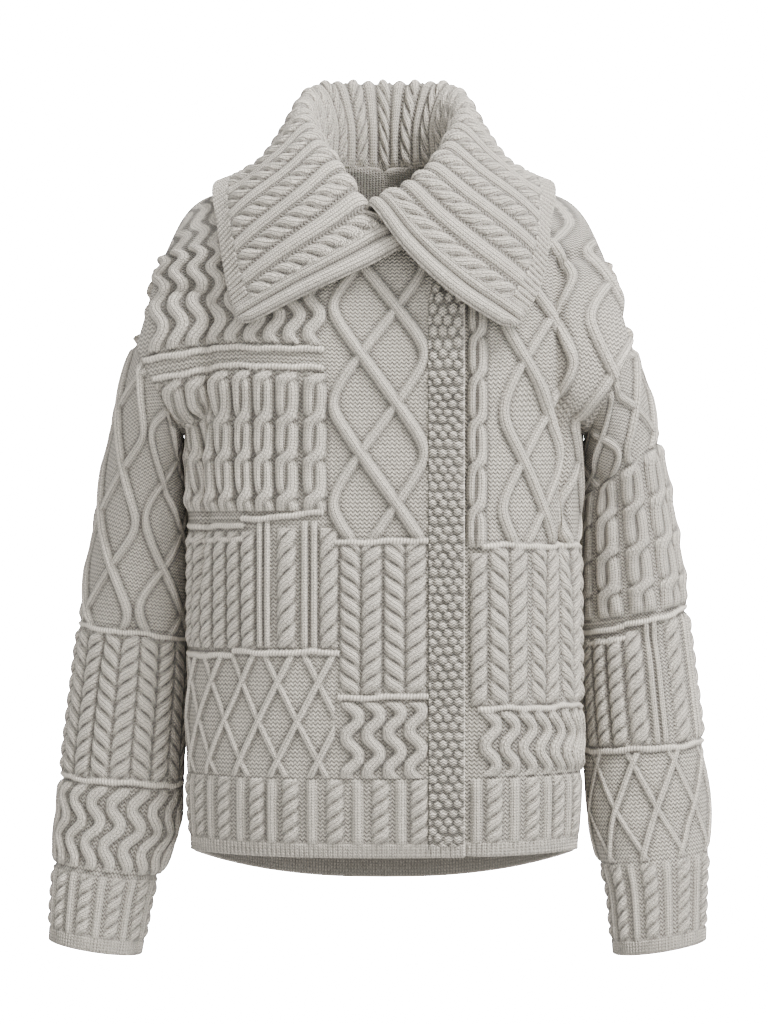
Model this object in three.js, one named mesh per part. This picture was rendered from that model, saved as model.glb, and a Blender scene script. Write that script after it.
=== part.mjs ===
// Cable knit cardigan, worn and hollow, with a wide fold-over collar.
// Millimetres. X runs to the wearer's left, the front faces -Y and Z is up.
// The origin lies in the middle of the neck opening, level with the tops of the shoulders.
import * as THREE from 'three';

const seamGap = 0.3;
const armholeGap = 0.5;
const wall = 3;
const cableRise = 2.2;
const weltRise = 1.8;
const collarRise = 1.8;
const cablePeriod = 22;
const swayPeriod = 36;
const swayReach = 4.5;
const strandHalfWidth = 7;

// Cloth lengths from the hem up a wale, and from the underarm up to the shoulder seam.
const underarmUp = 370;
const armholeUp = 190;
const bandTopUp = 503;
const backNeckUp = 541;

// Front edges: where each front starts beside the centre line, and the moss-stitch band.
const bandSeamAcross = 39;
const bandWidth = 31;
const bandBend = 1.3;
const underlapAcross = 8;
const underlapDepth = 6.2;
const underlapEase = 24;

// Armhole ring: the outer top and inner bottom of a slanted oval, and its half depth.
const armTop = new THREE.Vector3(228, 0, -170);
const armPit = new THREE.Vector3(184, 0, -254);
const armHalfDepth = 68;
const leanAtPit = 0.5;
const leanAtTop = 0.9;

// The body's oval, its hem and the level of the underarm.
const ovalPower = 2.4;
const hemFrontZ = -627;
const hemBackDrop = 46;
const underarmZ = -250;

// Sections of the body below the underarm: cloth height, half width, depths front and back.
const bodySections = [
  { up: 0, halfWidth: 177, front: 131, back: 133 },
  { up: 67, halfWidth: 181, front: 137, back: 139 },
  { up: 190, halfWidth: 180, front: 136, back: 138 },
  { up: 290, halfWidth: 179, front: 131, back: 134 },
  { up: 370, halfWidth: 179, front: 126, back: 130 },
];

// Yoke rows between underarm and shoulder seam: share of the armhole passed, then the points
// of the front edge or neckline, chest, fold and flank as across, depth and height.
const frontYoke = [
  { share: 0.3, chest: [80, -121, -198], fold: [140, -98, -210], flank: [172, -76, -226] },
  { share: 0.5, chest: [80, -116, -150], fold: [142, -97, -167], flank: [180, -84, -192] },
  { share: 0.7, chest: [78, -106, -100], fold: [142, -88, -118], flank: [190, -74, -152] },
  { share: 0.82, chest: [85, -93, -70], fold: [152, -75, -89], flank: [198, -55, -127] },
  { share: 0.9, chest: [92, -70, -49], fold: [162, -53, -70], flank: [200, -36, -107] },
  { share: 0.96, chest: [100, -34, -27], fold: [169, -25, -49], flank: [201, -18, -91] },
  { share: 1, chest: [112, 5, -17], fold: [174, 4, -40], flank: [201, 3, -84] },
];
const backYoke = [
  { share: 0.3, chest: [80, 124, -200], fold: [140, 101, -212], flank: [172, 78, -226] },
  { share: 0.5, chest: [80, 120, -152], fold: [142, 101, -167], flank: [180, 85, -192] },
  { share: 0.7, chest: [80, 112, -104], fold: [142, 94, -120], flank: [190, 75, -152] },
  { share: 0.82, chest: [85, 102, -70], fold: [152, 83, -91], flank: [198, 56, -127] },
  { share: 0.9, chest: [92, 84, -46], fold: [162, 61, -70], flank: [200, 38, -107] },
  { share: 0.96, chest: [100, 48, -25], fold: [169, 34, -49], flank: [201, 20, -91] },
  { share: 1, chest: [112, 5, -17], fold: [174, 4, -40], flank: [201, 3, -84] },
];

// Neckline and front edge points of the yoke rows, for each panel.
const rightFrontEdge = [
  { share: 0.3, edge: [-39, -125, -197] },
  { share: 0.5, edge: [-39, -120, -148] },
  { share: 0.7, edge: [-39, -110, -96] },
  { share: 0.82, edge: [12, -103, -82] },
  { share: 0.9, edge: [44, -78, -54] },
  { share: 0.96, edge: [64, -36, -20] },
  { share: 1, edge: [72, 7, 3] },
];
const leftFrontEdge = [
  { share: 0.3, edge: [8, -126, -197] },
  { share: 0.5, edge: [8, -121, -148] },
  { share: 0.7, edge: [8, -111, -96] },
  { share: 0.82, edge: [20, -100, -78] },
  { share: 0.9, edge: [46, -76, -52] },
  { share: 0.96, edge: [64, -36, -20] },
  { share: 1, edge: [72, 7, 3] },
];
const backEdge = [
  { share: 0.3, edge: [0, 131, -199] },
  { share: 0.5, edge: [0, 127, -150] },
  { share: 0.7, edge: [0, 119, -98] },
  { share: 0.82, edge: [0, 104, -52] },
  { share: 0.9, edge: [0, 84, -8] },
  { share: 0.96, edge: [44, 64, -1] },
  { share: 1, edge: [72, 7, 3] },
];

// Sleeve sections from the armhole to the cuff: the outer and inner edges as across and
// height, the half depth and the depth of the middle.
const sleeveSections = [
  { along: 0, outer: [228, -170], inner: [184, -254], halfDepth: 68, middle: 0 },
  { along: 50, outer: [244, -221], inner: [186, -285], halfDepth: 66, middle: 10 },
  { along: 108, outer: [258, -285], inner: [183, -326], halfDepth: 64, middle: 25 },
  { along: 168, outer: [270, -350], inner: [182, -376], halfDepth: 61, middle: 34 },
  { along: 232, outer: [280, -415], inner: [182, -430], halfDepth: 59, middle: 37 },
  { along: 296, outer: [288, -478], inner: [183, -487], halfDepth: 57, middle: 35 },
  { along: 358, outer: [295, -540], inner: [184.5, -548], halfDepth: 55, middle: 27 },
  { along: 410, outer: [299, -592], inner: [187, -602], halfDepth: 52, middle: 14 },
  { along: 446, outer: [301, -627], inner: [199, -639], halfDepth: 48, middle: 3 },
  { along: 474, outer: [301, -656], inner: [211, -668], halfDepth: 43, middle: -8 },
  { along: 530, outer: [302, -712], inner: [220, -725], halfDepth: 39, middle: -27 },
];
const cuffShift = { right: 2, left: -10 };
const cuffShiftFrom = 0.78;
const sleeveRadius = 58;

// Collar sections from the centre back (at 0) to the front end (at 1): points from the neck
// seam up the stand, over the crest and down the fall to the outer edge.
const collarSections = [
  { at: 0, seam: [0, 84, -7], stand: [0, 84, 42], crest: [0, 97, 80],
    fall: [0, 117, 40], lay: [0, 128, 4], edge: [0, 135, -30] },
  { at: 0.2, seam: [44, 64, 0], stand: [44, 66, 42], crest: [58, 78, 76],
    fall: [78, 97, 36], lay: [88, 105, 0], edge: [98, 110, -36] },
  { at: 0.42, seam: [72, 7, 4], stand: [64, 10, 32], crest: [72, 10, 54],
    fall: [90, 9, 26], lay: [114, 8, -5], edge: [152, 8, -22] },
  { at: 0.62, seam: [64, -36, -19], stand: [58, -42, 0], crest: [66, -54, 20],
    fall: [92, -70, -8], lay: [120, -78, -38], edge: [146, -76, -70] },
  { at: 0.82, seam: [43, -78, -50], stand: [36, -88, -38], crest: [38, -103, -24],
    fall: [70, -116, -52], lay: [104, -115, -86], edge: [137, -106, -122] },
];
const collarEnds = {
  right: { at: 1, seam: [-22, -117, -95], stand: [-25, -119, -93], crest: [-25, -125, -87],
    fall: [14, -130, -106], lay: [68, -131, -131], edge: [126, -120, -160] },
  left: { at: 1, seam: [-12, -96, -80], stand: [-14, -104, -66], crest: [-11, -127, -54],
    fall: [18, -141, -92], lay: [58, -143, -130], edge: [113, -130, -165] },
};
const overlapOutward = 5;

function smooth(from, to, value) {
  const t = Math.min(1, Math.max(0, (value - from) / (to - from)));
  return t * t * (3 - 2 * t);
}

function vector(point) {
  return new THREE.Vector3(point[0], point[1], point[2]);
}

// Smooth path through rows of points that lie at uneven heights.
function blend(heights, points, height, breakAt, breakShare) {
  const last = heights.length - 1;
  let k = 0;
  while (k < last - 1 && height > heights[k + 1]) {
    k += 1;
  }
  const span = heights[k + 1] - heights[k];
  const t = (height - heights[k]) / span;
  const slope = (i, side) => {
    const before = side === 0 || i === last ? i - 1 : i;
    const low = Math.max(0, i - 1);
    const high = Math.min(last, i + 1);
    const whole = points[high].clone().sub(points[low]).divideScalar(heights[high] - heights[low]);
    if (i !== breakAt || i === 0 || i === last) {
      return whole;
    }
    const own = points[before + 1].clone().sub(points[before]);
    own.divideScalar(heights[before + 1] - heights[before]);
    return whole.lerp(own, breakShare);
  };
  const a = slope(k, 1).multiplyScalar(span);
  const b = slope(k + 1, 0).multiplyScalar(span);
  const t2 = t * t;
  const t3 = t2 * t;
  const point = points[k].clone().multiplyScalar(2 * t3 - 3 * t2 + 1);
  point.addScaledVector(a, t3 - 2 * t2 + t);
  point.addScaledVector(points[k + 1], 3 * t2 - 2 * t3);
  return point.addScaledVector(b, t3 - t2);
}

// Armhole ring by its share passed from the underarm (0) to the shoulder end (1).
const armMiddle = armTop.clone().add(armPit).multiplyScalar(0.5);
const armHalf = armPit.clone().sub(armTop).multiplyScalar(0.5);
const armDown = armHalf.clone().normalize();
const armOut = new THREE.Vector3(-armDown.z, 0, armDown.x);

function armholePoint(share, face) {
  const angle = Math.PI * share;
  const point = armMiddle.clone().addScaledVector(armHalf, Math.cos(angle));
  point.y += face * armHalfDepth * Math.sin(angle);
  return point;
}

function armholeNormal(share, face) {
  const angle = Math.PI * share;
  const normal = armDown.clone().multiplyScalar(Math.cos(angle) * armHalfDepth / armHalf.length());
  normal.y += face * Math.sin(angle);
  normal.normalize();
  const lean = leanAtPit + (leanAtTop - leanAtPit) * share;
  return normal.addScaledVector(armOut, lean).normalize();
}

function armholeAcross(share, face) {
  const step = 0.01;
  const tangent = armholePoint(share + step, face).sub(armholePoint(share - step, face));
  const across = tangent.cross(armholeNormal(share, face)).normalize();
  return across.dot(armOut) < 0 ? across.negate() : across;
}

// One oval section point of the lower body. Angle 0 is the front or back middle, 90 the side.
function ovalPoint(section, angle, face) {
  const sine = Math.sin(angle);
  const cosine = Math.cos(angle);
  const depth = face < 0 ? section.front : section.back;
  const x = section.halfWidth * Math.sign(sine) * Math.abs(sine) ** (2 / ovalPower);
  const y = face * depth * Math.abs(cosine) ** (2 / ovalPower);
  const hem = hemFrontZ - hemBackDrop * (0.5 + 0.5 * y / depth) ** 3;
  const z = hem + (underarmZ - hem) * section.up / underarmUp;
  return new THREE.Vector3(x, y, z);
}

function angleAt(section, across) {
  const share = Math.abs(across) / section.halfWidth;
  return Math.sign(across) * Math.asin(share ** (ovalPower / 2));
}

// A panel is a set of rows from its front edge, neckline or centre back out to the side.
function makePanel(face, startAcross, yoke, edges) {
  const heights = [];
  const curves = [];
  for (const section of bodySections) {
    const start = angleAt(section, startAcross);
    const points = [];
    const steps = 9;
    for (let i = 0; i <= steps; i += 1) {
      points.push(ovalPoint(section, start + (Math.PI / 2 - start) * i / steps, face));
    }
    if (section.up === underarmUp) {
      points[steps] = armPit.clone();
    }
    heights.push(section.up);
    curves.push(new THREE.CatmullRomCurve3(points, false, 'centripetal'));
  }
  yoke.forEach((row, i) => {
    const points = [edges[i].edge, row.chest, row.fold, row.flank].map(vector);
    points.push(armholePoint(row.share, face));
    heights.push(underarmUp + armholeUp * row.share);
    curves.push(new THREE.CatmullRomCurve3(points, false, 'centripetal'));
  });
  const breakAt = bodySections.length - 1;
  const lengths = curves.map((curve) => curve.getLength());
  const at = (u, up) => {
    const points = curves.map((curve) => curve.getPointAt(Math.min(1, Math.max(0, u))));
    return blend(heights, points, up, breakAt, smooth(0.8, 1, u));
  };
  const widthAt = (up) => {
    let k = 0;
    while (k < heights.length - 2 && up > heights[k + 1]) {
      k += 1;
    }
    const t = (up - heights[k]) / (heights[k + 1] - heights[k]);
    return lengths[k] + (lengths[k + 1] - lengths[k]) * t;
  };
  return { face, at, widthAt };
}

// Creases pressed into the cloth: from and to are across and up, both in millimetres.
const frontCreases = [
  { from: [196, 300], to: [226, 470], width: 11, depth: 7 },
  { from: [176, 455], to: [205, 540], width: 12, depth: 4 },
  { from: [150, 120], to: [165, 330], width: 26, depth: 3.5 },
  { from: [60, 150], to: [40, 330], width: 34, depth: 2.5 },
];
const backCreases = [
  { from: [190, 290], to: [222, 460], width: 12, depth: 6.5 },
  { from: [120, 110], to: [105, 350], width: 30, depth: 5 },
  { from: [40, 90], to: [30, 300], width: 26, depth: 3.5 },
];
const sleeveCreases = [
  { from: [150, 60], to: [95, 130], width: 12, depth: 4.5 },
  { from: [120, 230], to: [60, 262], width: 14, depth: 4 },
  { from: [230, 215], to: [290, 250], width: 14, depth: 4 },
  { from: [110, 400], to: [50, 425], width: 13, depth: 3 },
];

function creaseDepth(creases, across, up) {
  let depth = 0;
  for (const crease of creases) {
    const runX = crease.to[0] - crease.from[0];
    const runY = crease.to[1] - crease.from[1];
    const length = Math.hypot(runX, runY);
    const x = across - crease.from[0];
    const y = up - crease.from[1];
    const along = (x * runX + y * runY) / length;
    const aside = (x * runY - y * runX) / length;
    const fade = smooth(-30, 30, along) * (1 - smooth(length - 30, length + 30, along));
    depth += crease.depth * fade * Math.exp(-((aside / crease.width) ** 2));
  }
  return depth;
}

// Raised knitting. Blocks are rectangles of cloth: across from and to, up from and to.
// Each holds evenly spaced cables, swaying cables, or strands that cross as a lattice.
const rightFrontBlocks = [
  { kind: 'cables', across: [0, 300], up: [0, 66], count: 16 },
  { kind: 'sway', across: [4, 70], up: [68, 132], count: 4 },
  { kind: 'cables', across: [2, 74], up: [140, 270], count: 4 },
  { kind: 'lattice', across: [0, 96], up: [276, 520], count: 2, rise: 88 },
  { kind: 'lattice', across: [74, 298], up: [67, 172], count: 8, rise: 52 },
  { kind: 'cables', across: [96, 298], up: [178, 272], count: 11 },
  { kind: 'cables', across: [98, 298], up: [296, 420], count: 8 },
  { kind: 'sway', across: [98, 280], up: [448, 560], count: 8 },
];
const leftFrontBlocks = [
  { kind: 'cables', across: [62, 252], up: [0, 66], count: 10 },
  { kind: 'sway', across: [66, 252], up: [68, 122], count: 9 },
  { kind: 'cables', across: [78, 252], up: [128, 264], count: 9 },
  { kind: 'cables', across: [64, 82], up: [272, 470], count: 1 },
  { kind: 'lattice', across: [90, 252], up: [272, 556], count: 4, rise: 100 },
];
const backBlocks = [
  { kind: 'cables', across: [-260, 260], up: [0, 66], count: 28 },
  { kind: 'lattice', across: [-60, 60], up: [70, 250], count: 4, rise: 60 },
  { kind: 'lattice', across: [-70, 70], up: [276, 530], count: 4, rise: 100 },
  { kind: 'cables', across: [-260, -66], up: [70, 172], count: 10 },
  { kind: 'sway', across: [66, 260], up: [70, 172], count: 10 },
  { kind: 'sway', across: [-260, -66], up: [178, 270], count: 10 },
  { kind: 'cables', across: [66, 260], up: [178, 270], count: 10 },
  { kind: 'cables', across: [-260, -74], up: [296, 420], count: 8 },
  { kind: 'cables', across: [74, 260], up: [296, 540], count: 8 },
];
const rightSleeveBlocks = [
  { kind: 'cables', across: [0, 400], up: [0, 66], count: 14 },
  { kind: 'sway', across: [0, 400], up: [68, 130], count: 16 },
  { kind: 'cables', across: [0, 400], up: [140, 268], count: 16 },
  { kind: 'lattice', across: [0, 400], up: [276, 520], count: 8, rise: 98 },
];
const leftSleeveBlocks = [
  { kind: 'cables', across: [0, 400], up: [0, 80], count: 14 },
  { kind: 'lattice', across: [0, 400], up: [84, 180], count: 12, rise: 52 },
  { kind: 'cables', across: [0, 400], up: [190, 288], count: 20 },
  { kind: 'cables', across: [0, 400], up: [302, 500], count: 14 },
];

function blockRise(block, across, up) {
  const width = block.across[1] - block.across[0];
  const x = across - block.across[0];
  const y = up - block.up[0];
  const inside = x >= 0 && x <= width && y >= 0 && up <= block.up[1];
  if (!inside) {
    return 0;
  }
  const pitch = width / block.count;
  if (block.kind === 'lattice') {
    let rise = 0;
    for (let k = 0; k < block.count; k += 1) {
      const turn = Math.cos(2 * Math.PI * y / block.rise) * (k % 2 ? -1 : 1);
      const strand = pitch * (k + 0.5 + 0.5 * turn);
      rise = Math.max(rise, Math.exp(-(((x - strand) / strandHalfWidth) ** 2)));
    }
    return rise;
  }
  const sway = block.kind === 'sway' ? swayReach * Math.sin(2 * Math.PI * y / swayPeriod) : 0;
  const swell = block.kind === 'cables' ? 0.12 * Math.cos(2 * Math.PI * y / cablePeriod) : 0;
  return 0.46 - 0.46 * Math.cos(2 * Math.PI * (x + sway) / pitch) + swell;
}

function relief(blocks, welts, across, up) {
  let rise = 0;
  for (const block of blocks) {
    rise = Math.max(rise, cableRise * blockRise(block, across, up));
  }
  for (const welt of welts) {
    const near = Math.abs(up - welt.up) < 1;
    const along = across >= welt.across[0] && across <= welt.across[1];
    rise = near && along ? Math.max(rise, weltRise) : rise;
  }
  return rise;
}

// Welts: level ridges that close a block.
const frontWelts = [
  { up: 135, across: [0, 76] },
  { up: 174, across: [76, 300] },
  { up: 272, across: [0, 300] },
  { up: 290, across: [96, 300] },
  { up: 427, across: [98, 300] },
  { up: 446, across: [98, 300] },
];
const backWelts = [
  { up: 174, across: [-260, 260] },
  { up: 272, across: [-260, 260] },
  { up: 290, across: [-260, 260] },
];

// A closed wall from a grid of outer and inner points. The inside keeps one column in every
// stride, and rims join it to the outside along each open side of the grid.
function makeWall(grid, options) {
  const { columns, rows, closed, flip, stride, rimFrom } = options;
  const points = [];
  const index = [];
  const add = (p) => {
    points.push(p.x, p.y, p.z);
    return points.length / 3 - 1;
  };
  const face = (a, b, c) => {
    if (flip) {
      index.push(a, c, b);
    } else {
      index.push(a, b, c);
    }
  };
  const outer = grid.map((column) => column.map((cell) => add(cell.outer)));
  const innerColumns = columns / stride;
  const inner = [];
  for (let i = 0; i <= innerColumns; i += 1) {
    inner.push(grid[i * stride].map((cell) => add(cell.inner)));
  }
  for (let i = 0; i < columns; i += 1) {
    for (let j = 0; j < rows; j += 1) {
      face(outer[i][j], outer[i + 1][j], outer[i + 1][j + 1]);
      face(outer[i][j], outer[i + 1][j + 1], outer[i][j + 1]);
    }
  }
  for (let i = 0; i < innerColumns; i += 1) {
    for (let j = 0; j < rows; j += 1) {
      face(inner[i][j], inner[i + 1][j + 1], inner[i + 1][j]);
      face(inner[i][j], inner[i][j + 1], inner[i + 1][j + 1]);
    }
  }
  const half = Math.floor(stride / 2);
  for (let i = 0; i < innerColumns; i += 1) {
    for (const j of [0, rows]) {
      const up = j === rows;
      const rim = (a, b, c) => (up ? face(a, c, b) : face(a, b, c));
      for (let k = 0; k < stride; k += 1) {
        const near = k < half ? inner[i][j] : inner[i + 1][j];
        rim(near, outer[i * stride + k + 1][j], outer[i * stride + k][j]);
      }
      rim(inner[i][j], inner[i + 1][j], outer[i * stride + half][j]);
    }
  }
  if (!closed) {
    for (let j = 0; j < rows; j += 1) {
      if (j >= rimFrom) {
        face(inner[0][j], outer[0][j], outer[0][j + 1]);
        face(inner[0][j], outer[0][j + 1], inner[0][j + 1]);
      }
      const i = innerColumns;
      face(inner[i][j], outer[columns][j + 1], outer[columns][j]);
      face(inner[i][j], inner[i][j + 1], outer[columns][j + 1]);
    }
  }
  return { points, index };
}

function makeMesh(name, walls, colour) {
  const points = [];
  const index = [];
  for (const part of walls) {
    const base = points.length / 3;
    points.push(...part.points);
    index.push(...part.index.map((i) => i + base));
  }
  const geometry = new THREE.BufferGeometry();
  geometry.setAttribute('position', new THREE.Float32BufferAttribute(points, 3));
  geometry.setIndex(index);
  geometry.computeVertexNormals();
  const material = new THREE.MeshStandardMaterial({ color: colour, roughness: 0.95, metalness: 0 });
  const mesh = new THREE.Mesh(geometry, material);
  mesh.name = name;
  return mesh;
}

const mirrorX = new THREE.Vector3(-1, 1, 1);

function mirrored(cell, side) {
  if (side > 0) {
    return cell;
  }
  return { outer: cell.outer.multiply(mirrorX), inner: cell.inner.multiply(mirrorX) };
}

// Cloth heights of the courses drawn as rows of the body grid.
const lowerCourses = [0, 33, 67, 101, 135, 174, 206, 239, 272, 290, 317, 344, 370];
const yokeCourses = 10;
const courses = [...lowerCourses];
for (let k = 1; k <= yokeCourses; k += 1) {
  courses.push(underarmUp + armholeUp * k / yokeCourses);
}

// Direction square to a panel, from points a little to each side.
const nearShare = 0.004;
const nearUp = 2;

function surfaceNormal(at, u, up, face) {
  const du = nearShare;
  const dv = nearUp;
  const low = Math.max(0, up - dv);
  const high = Math.min(underarmUp + armholeUp, up + dv);
  const alongRow = at(Math.min(1, u + du), up).sub(at(Math.max(0, u - du), up));
  const alongWale = at(u, high).sub(at(u, low));
  const normal = alongRow.cross(alongWale).normalize();
  return face < 0 ? normal : normal.negate();
}

const sideways = new THREE.Vector3(1, 0, 0);

function shoulderNormal(at, u) {
  const top = underarmUp + armholeUp;
  const run = at(Math.min(1, u + 0.01), top).sub(at(Math.max(0, u - 0.01), top));
  return new THREE.Vector3(-run.z, 0, run.x).normalize();
}

// One cell of a body panel: the outer point with its raised knitting, and the inner point.
function panelCell(panel, u, up, look) {
  const { face, at } = panel;
  const top = underarmUp + armholeUp;
  const share = (up - underarmUp) / armholeUp;
  const point = at(u, up);
  if (share >= 0) {
    const toRing = armholePoint(share, face).sub(at(1, up));
    point.addScaledVector(toRing, smooth(0.8, 1, u));
  }
  let normal = surfaceNormal(at, u, up, face);
  const across = look.startAcross + u * panel.widthAt(up);
  let rise = relief(look.blocks, look.welts, across * look.side, up);
  const sink = creaseDepth(look.creases, across, up);
  const seamFade = (1 - smooth(0.9, 0.98, u)) * (1 - smooth(top - 30, top - 6, up));
  point.addScaledVector(normal, -sink * seamFade);
  if (look.tuck) {
    const tuck = underlapDepth * (1 - smooth(look.tuck, look.tuck + underlapEase, point.x));
    point.addScaledVector(normal, -tuck * (1 - smooth(top - 60, top - 25, up)));
    rise *= smooth(look.tuck, look.tuck + underlapEase, point.x);
  }
  if (look.centreUp && u === 0 && up <= look.centreUp) {
    normal.x = 0;
    normal.normalize();
    point.x = 0;
  }
  if (u > 0.999 && up <= underarmUp) {
    normal = sideways.clone();
  }
  if (up > top - 0.01) {
    normal = shoulderNormal(at, u);
    point.y += face * seamGap / 2;
  }
  if (u > 0.999) {
    rise = 0;
    if (up < top - 0.01) {
      point.y += face * seamGap / 2;
    }
    if (up >= underarmUp) {
      normal = armholeNormal(share, face);
      point.addScaledVector(armholeAcross(share, face), -armholeGap / 2);
    }
  }
  rise *= up > top - 0.01 ? 0 : 1;
  const inner = point.clone().addScaledVector(normal, -wall);
  const outer = point.addScaledVector(normal, rise * (1 - smooth(0.8, 0.9, u)));
  return { outer, inner };
}

function panelWall(panel, columns, side, look, rimFrom) {
  const grid = [];
  for (let i = 0; i <= columns; i += 1) {
    grid.push(courses.map((up) => mirrored(panelCell(panel, i / columns, up, look), side)));
  }
  const flip = (side < 0) !== (panel.face > 0);
  const rows = courses.length - 1;
  return makeWall(grid, { columns, rows, closed: false, flip, stride: 2, rimFrom });
}

const rightFront = makePanel(-1, -bandSeamAcross, frontYoke, rightFrontEdge);
const leftFront = makePanel(-1, underlapAcross, frontYoke, leftFrontEdge);
const back = makePanel(1, 0, backYoke, backEdge);

const rightFrontColumns = 30;
const leftFrontColumns = 26;
const backColumns = 26;

const frontRightMesh = makeMesh('front_right', [
  panelWall(rightFront, rightFrontColumns, -1, {
    blocks: rightFrontBlocks, welts: frontWelts, creases: frontCreases, side: 1, startAcross: 0,
  }, 0),
], 0xcfcac3);
const frontLeftMesh = makeMesh('front_left', [
  panelWall(leftFront, leftFrontColumns, 1, {
    blocks: leftFrontBlocks, welts: frontWelts.slice(2, 3), creases: frontCreases, side: 1,
    startAcross: 0, tuck: bandSeamAcross + bandWidth,
  }, 0),
], 0xcbc6bf);
const backRim = courses.findIndex((up) => up >= backNeckUp - 1);
const backMesh = makeMesh('back', [1, -1].map((side) => panelWall(back, backColumns, side, {
  blocks: backBlocks, welts: backWelts, creases: backCreases, side, startAcross: 0,
  centreUp: backNeckUp,
}, backRim)), 0xc9c4bd);

// The moss-stitch band carries on the right front's surface past its edge.
function bandCell(t, up) {
  const edge = rightFront.at(0, up);
  const next = rightFront.at(0.03, up);
  const away = edge.clone().sub(next).normalize();
  const normal = surfaceNormal(rightFront.at, 0.01, up, -1);
  const reach = seamGap + (bandWidth - seamGap) * t;
  const outer = edge.addScaledVector(away, reach);
  outer.y += bandBend * t * t;
  const inner = outer.clone().addScaledVector(normal, -wall);
  return mirrored({ outer, inner }, -1);
}

const bandCourses = courses.filter((up) => up < bandTopUp + 1);
const bandColumns = 4;
const bandGrid = [];
for (let i = 0; i <= bandColumns; i += 1) {
  bandGrid.push(bandCourses.map((up) => bandCell(1 - i / bandColumns, up)));
}
const bandMesh = makeMesh('front_band', [makeWall(bandGrid, {
  columns: bandColumns, rows: bandCourses.length - 1, closed: false, flip: true, stride: 2,
  rimFrom: 0,
})], 0xc6c1ba);

// Sleeve: an oval tube from the armhole ring to the cuff.
const sleeveLength = sleeveSections[sleeveSections.length - 1].along;
const sleeveAlong = sleeveSections.map((section) => section.along);

function sleevePoint(angle, along, shift) {
  const points = sleeveSections.map((section) => {
    const outer = new THREE.Vector3(section.outer[0], section.middle, section.outer[1]);
    const inner = new THREE.Vector3(section.inner[0], section.middle, section.inner[1]);
    const middle = outer.clone().add(inner).multiplyScalar(0.5);
    middle.addScaledVector(outer.sub(inner), 0.5 * Math.cos(angle));
    middle.y -= section.halfDepth * Math.sin(angle);
    middle.x += shift * smooth(cuffShiftFrom, 1, section.along / sleeveLength);
    return middle;
  });
  return blend(sleeveAlong, points, along, -1, 0);
}

const sleeveColumns = 40;
const sleeveRows = 18;

function sleeveCell(j, row, look) {
  const angle = 2 * Math.PI * j / sleeveColumns;
  const along = sleeveLength * row / sleeveRows;
  if (row === 0) {
    const share = j <= sleeveColumns / 2 ? 1 - 2 * j / sleeveColumns : 2 * j / sleeveColumns - 1;
    const face = j <= sleeveColumns / 2 ? -1 : 1;
    const outer = armholePoint(share, face);
    outer.addScaledVector(armholeAcross(share, face), armholeGap / 2);
    const inner = outer.clone().addScaledVector(armholeNormal(share, face), -wall);
    return { outer, inner };
  }
  const around = sleevePoint(angle + 0.02, along, look.shift);
  around.sub(sleevePoint(angle - 0.02, along, look.shift));
  const down = sleevePoint(angle, Math.min(sleeveLength, along + 2), look.shift);
  down.sub(sleevePoint(angle, along - 2, look.shift));
  const normal = down.cross(around).normalize();
  const point = sleevePoint(angle, along, look.shift);
  const across = angle * sleeveRadius;
  const up = sleeveLength - along;
  const plainInside = 1 - smooth(0.55, 0.85, -Math.cos(angle)) * smooth(70, 150, up);
  const rise = relief(look.blocks, [], across, up) * plainInside * smooth(0, 60, along);
  const sink = creaseDepth(sleeveCreases, across, along) * smooth(10, 50, along);
  point.addScaledVector(normal, -sink);
  const inner = point.clone().addScaledVector(normal, -wall);
  return { outer: point.addScaledVector(normal, rise), inner };
}

function sleeveMesh(name, side, look, colour) {
  const grid = [];
  for (let j = 0; j < sleeveColumns; j += 1) {
    const column = [];
    for (let row = 0; row <= sleeveRows; row += 1) {
      column.push(sleeveCell(j, row, look));
    }
    grid.push(column);
  }
  for (let j = 1; j < sleeveColumns; j += 2) {
    const before = grid[j - 1][0].outer;
    const after = grid[(j + 1) % sleeveColumns][0].outer;
    grid[j][0].outer.copy(before).add(after).multiplyScalar(0.5);
  }
  grid.push(grid[0].map((cell) => ({ outer: cell.outer.clone(), inner: cell.inner.clone() })));
  const cells = grid.map((column) => column.map((cell) => mirrored(cell, side)));
  const flip = side < 0;
  return makeMesh(name, [makeWall(cells, {
    columns: sleeveColumns, rows: sleeveRows, closed: true, flip: !flip, stride: 2, rimFrom: 0,
  })], colour);
}

const rightSleeve = { blocks: rightSleeveBlocks, shift: cuffShift.right };
const leftSleeve = { blocks: leftSleeveBlocks, shift: cuffShift.left };

// Collar: the two halves share the sections and differ where the ends cross in front.
const collarAts = [...collarSections.map((section) => section.at), 1];
const stationNames = ['seam', 'stand', 'crest', 'fall', 'lay', 'edge'];

function collarCurve(section, outward) {
  const points = stationNames.map((name) => vector(section[name]));
  for (const point of points.slice(2)) {
    point.y -= outward;
  }
  return new THREE.CatmullRomCurve3(points, false, 'centripetal');
}

function collarSide(end, overlap) {
  const curves = collarSections.map((section) => {
    return collarCurve(section, overlap * smooth(0.6, 0.85, section.at));
  });
  curves.push(collarCurve(end, 0));
  return curves;
}

const collarCurves = {
  right: collarSide(collarEnds.right, 0),
  left: collarSide(collarEnds.left, overlapOutward),
};

function collarHalfPoint(curves, at, r) {
  const share = Math.min(1, Math.max(0, r));
  const points = curves.map((curve) => curve.getPointAt(share));
  const mirror = points[1].clone().multiply(mirrorX);
  return blend([-collarAts[1], ...collarAts], [mirror, ...points], at, -1, 0);
}

// Place runs from -1 at the right front end, through the centre back, to 1 at the left end.
function collarPoint(place, r) {
  if (place < 0) {
    return collarHalfPoint(collarCurves.right, -place, r).multiply(mirrorX);
  }
  return collarHalfPoint(collarCurves.left, place, r);
}

const collarColumns = 60;
const collarRows = 12;

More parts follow.
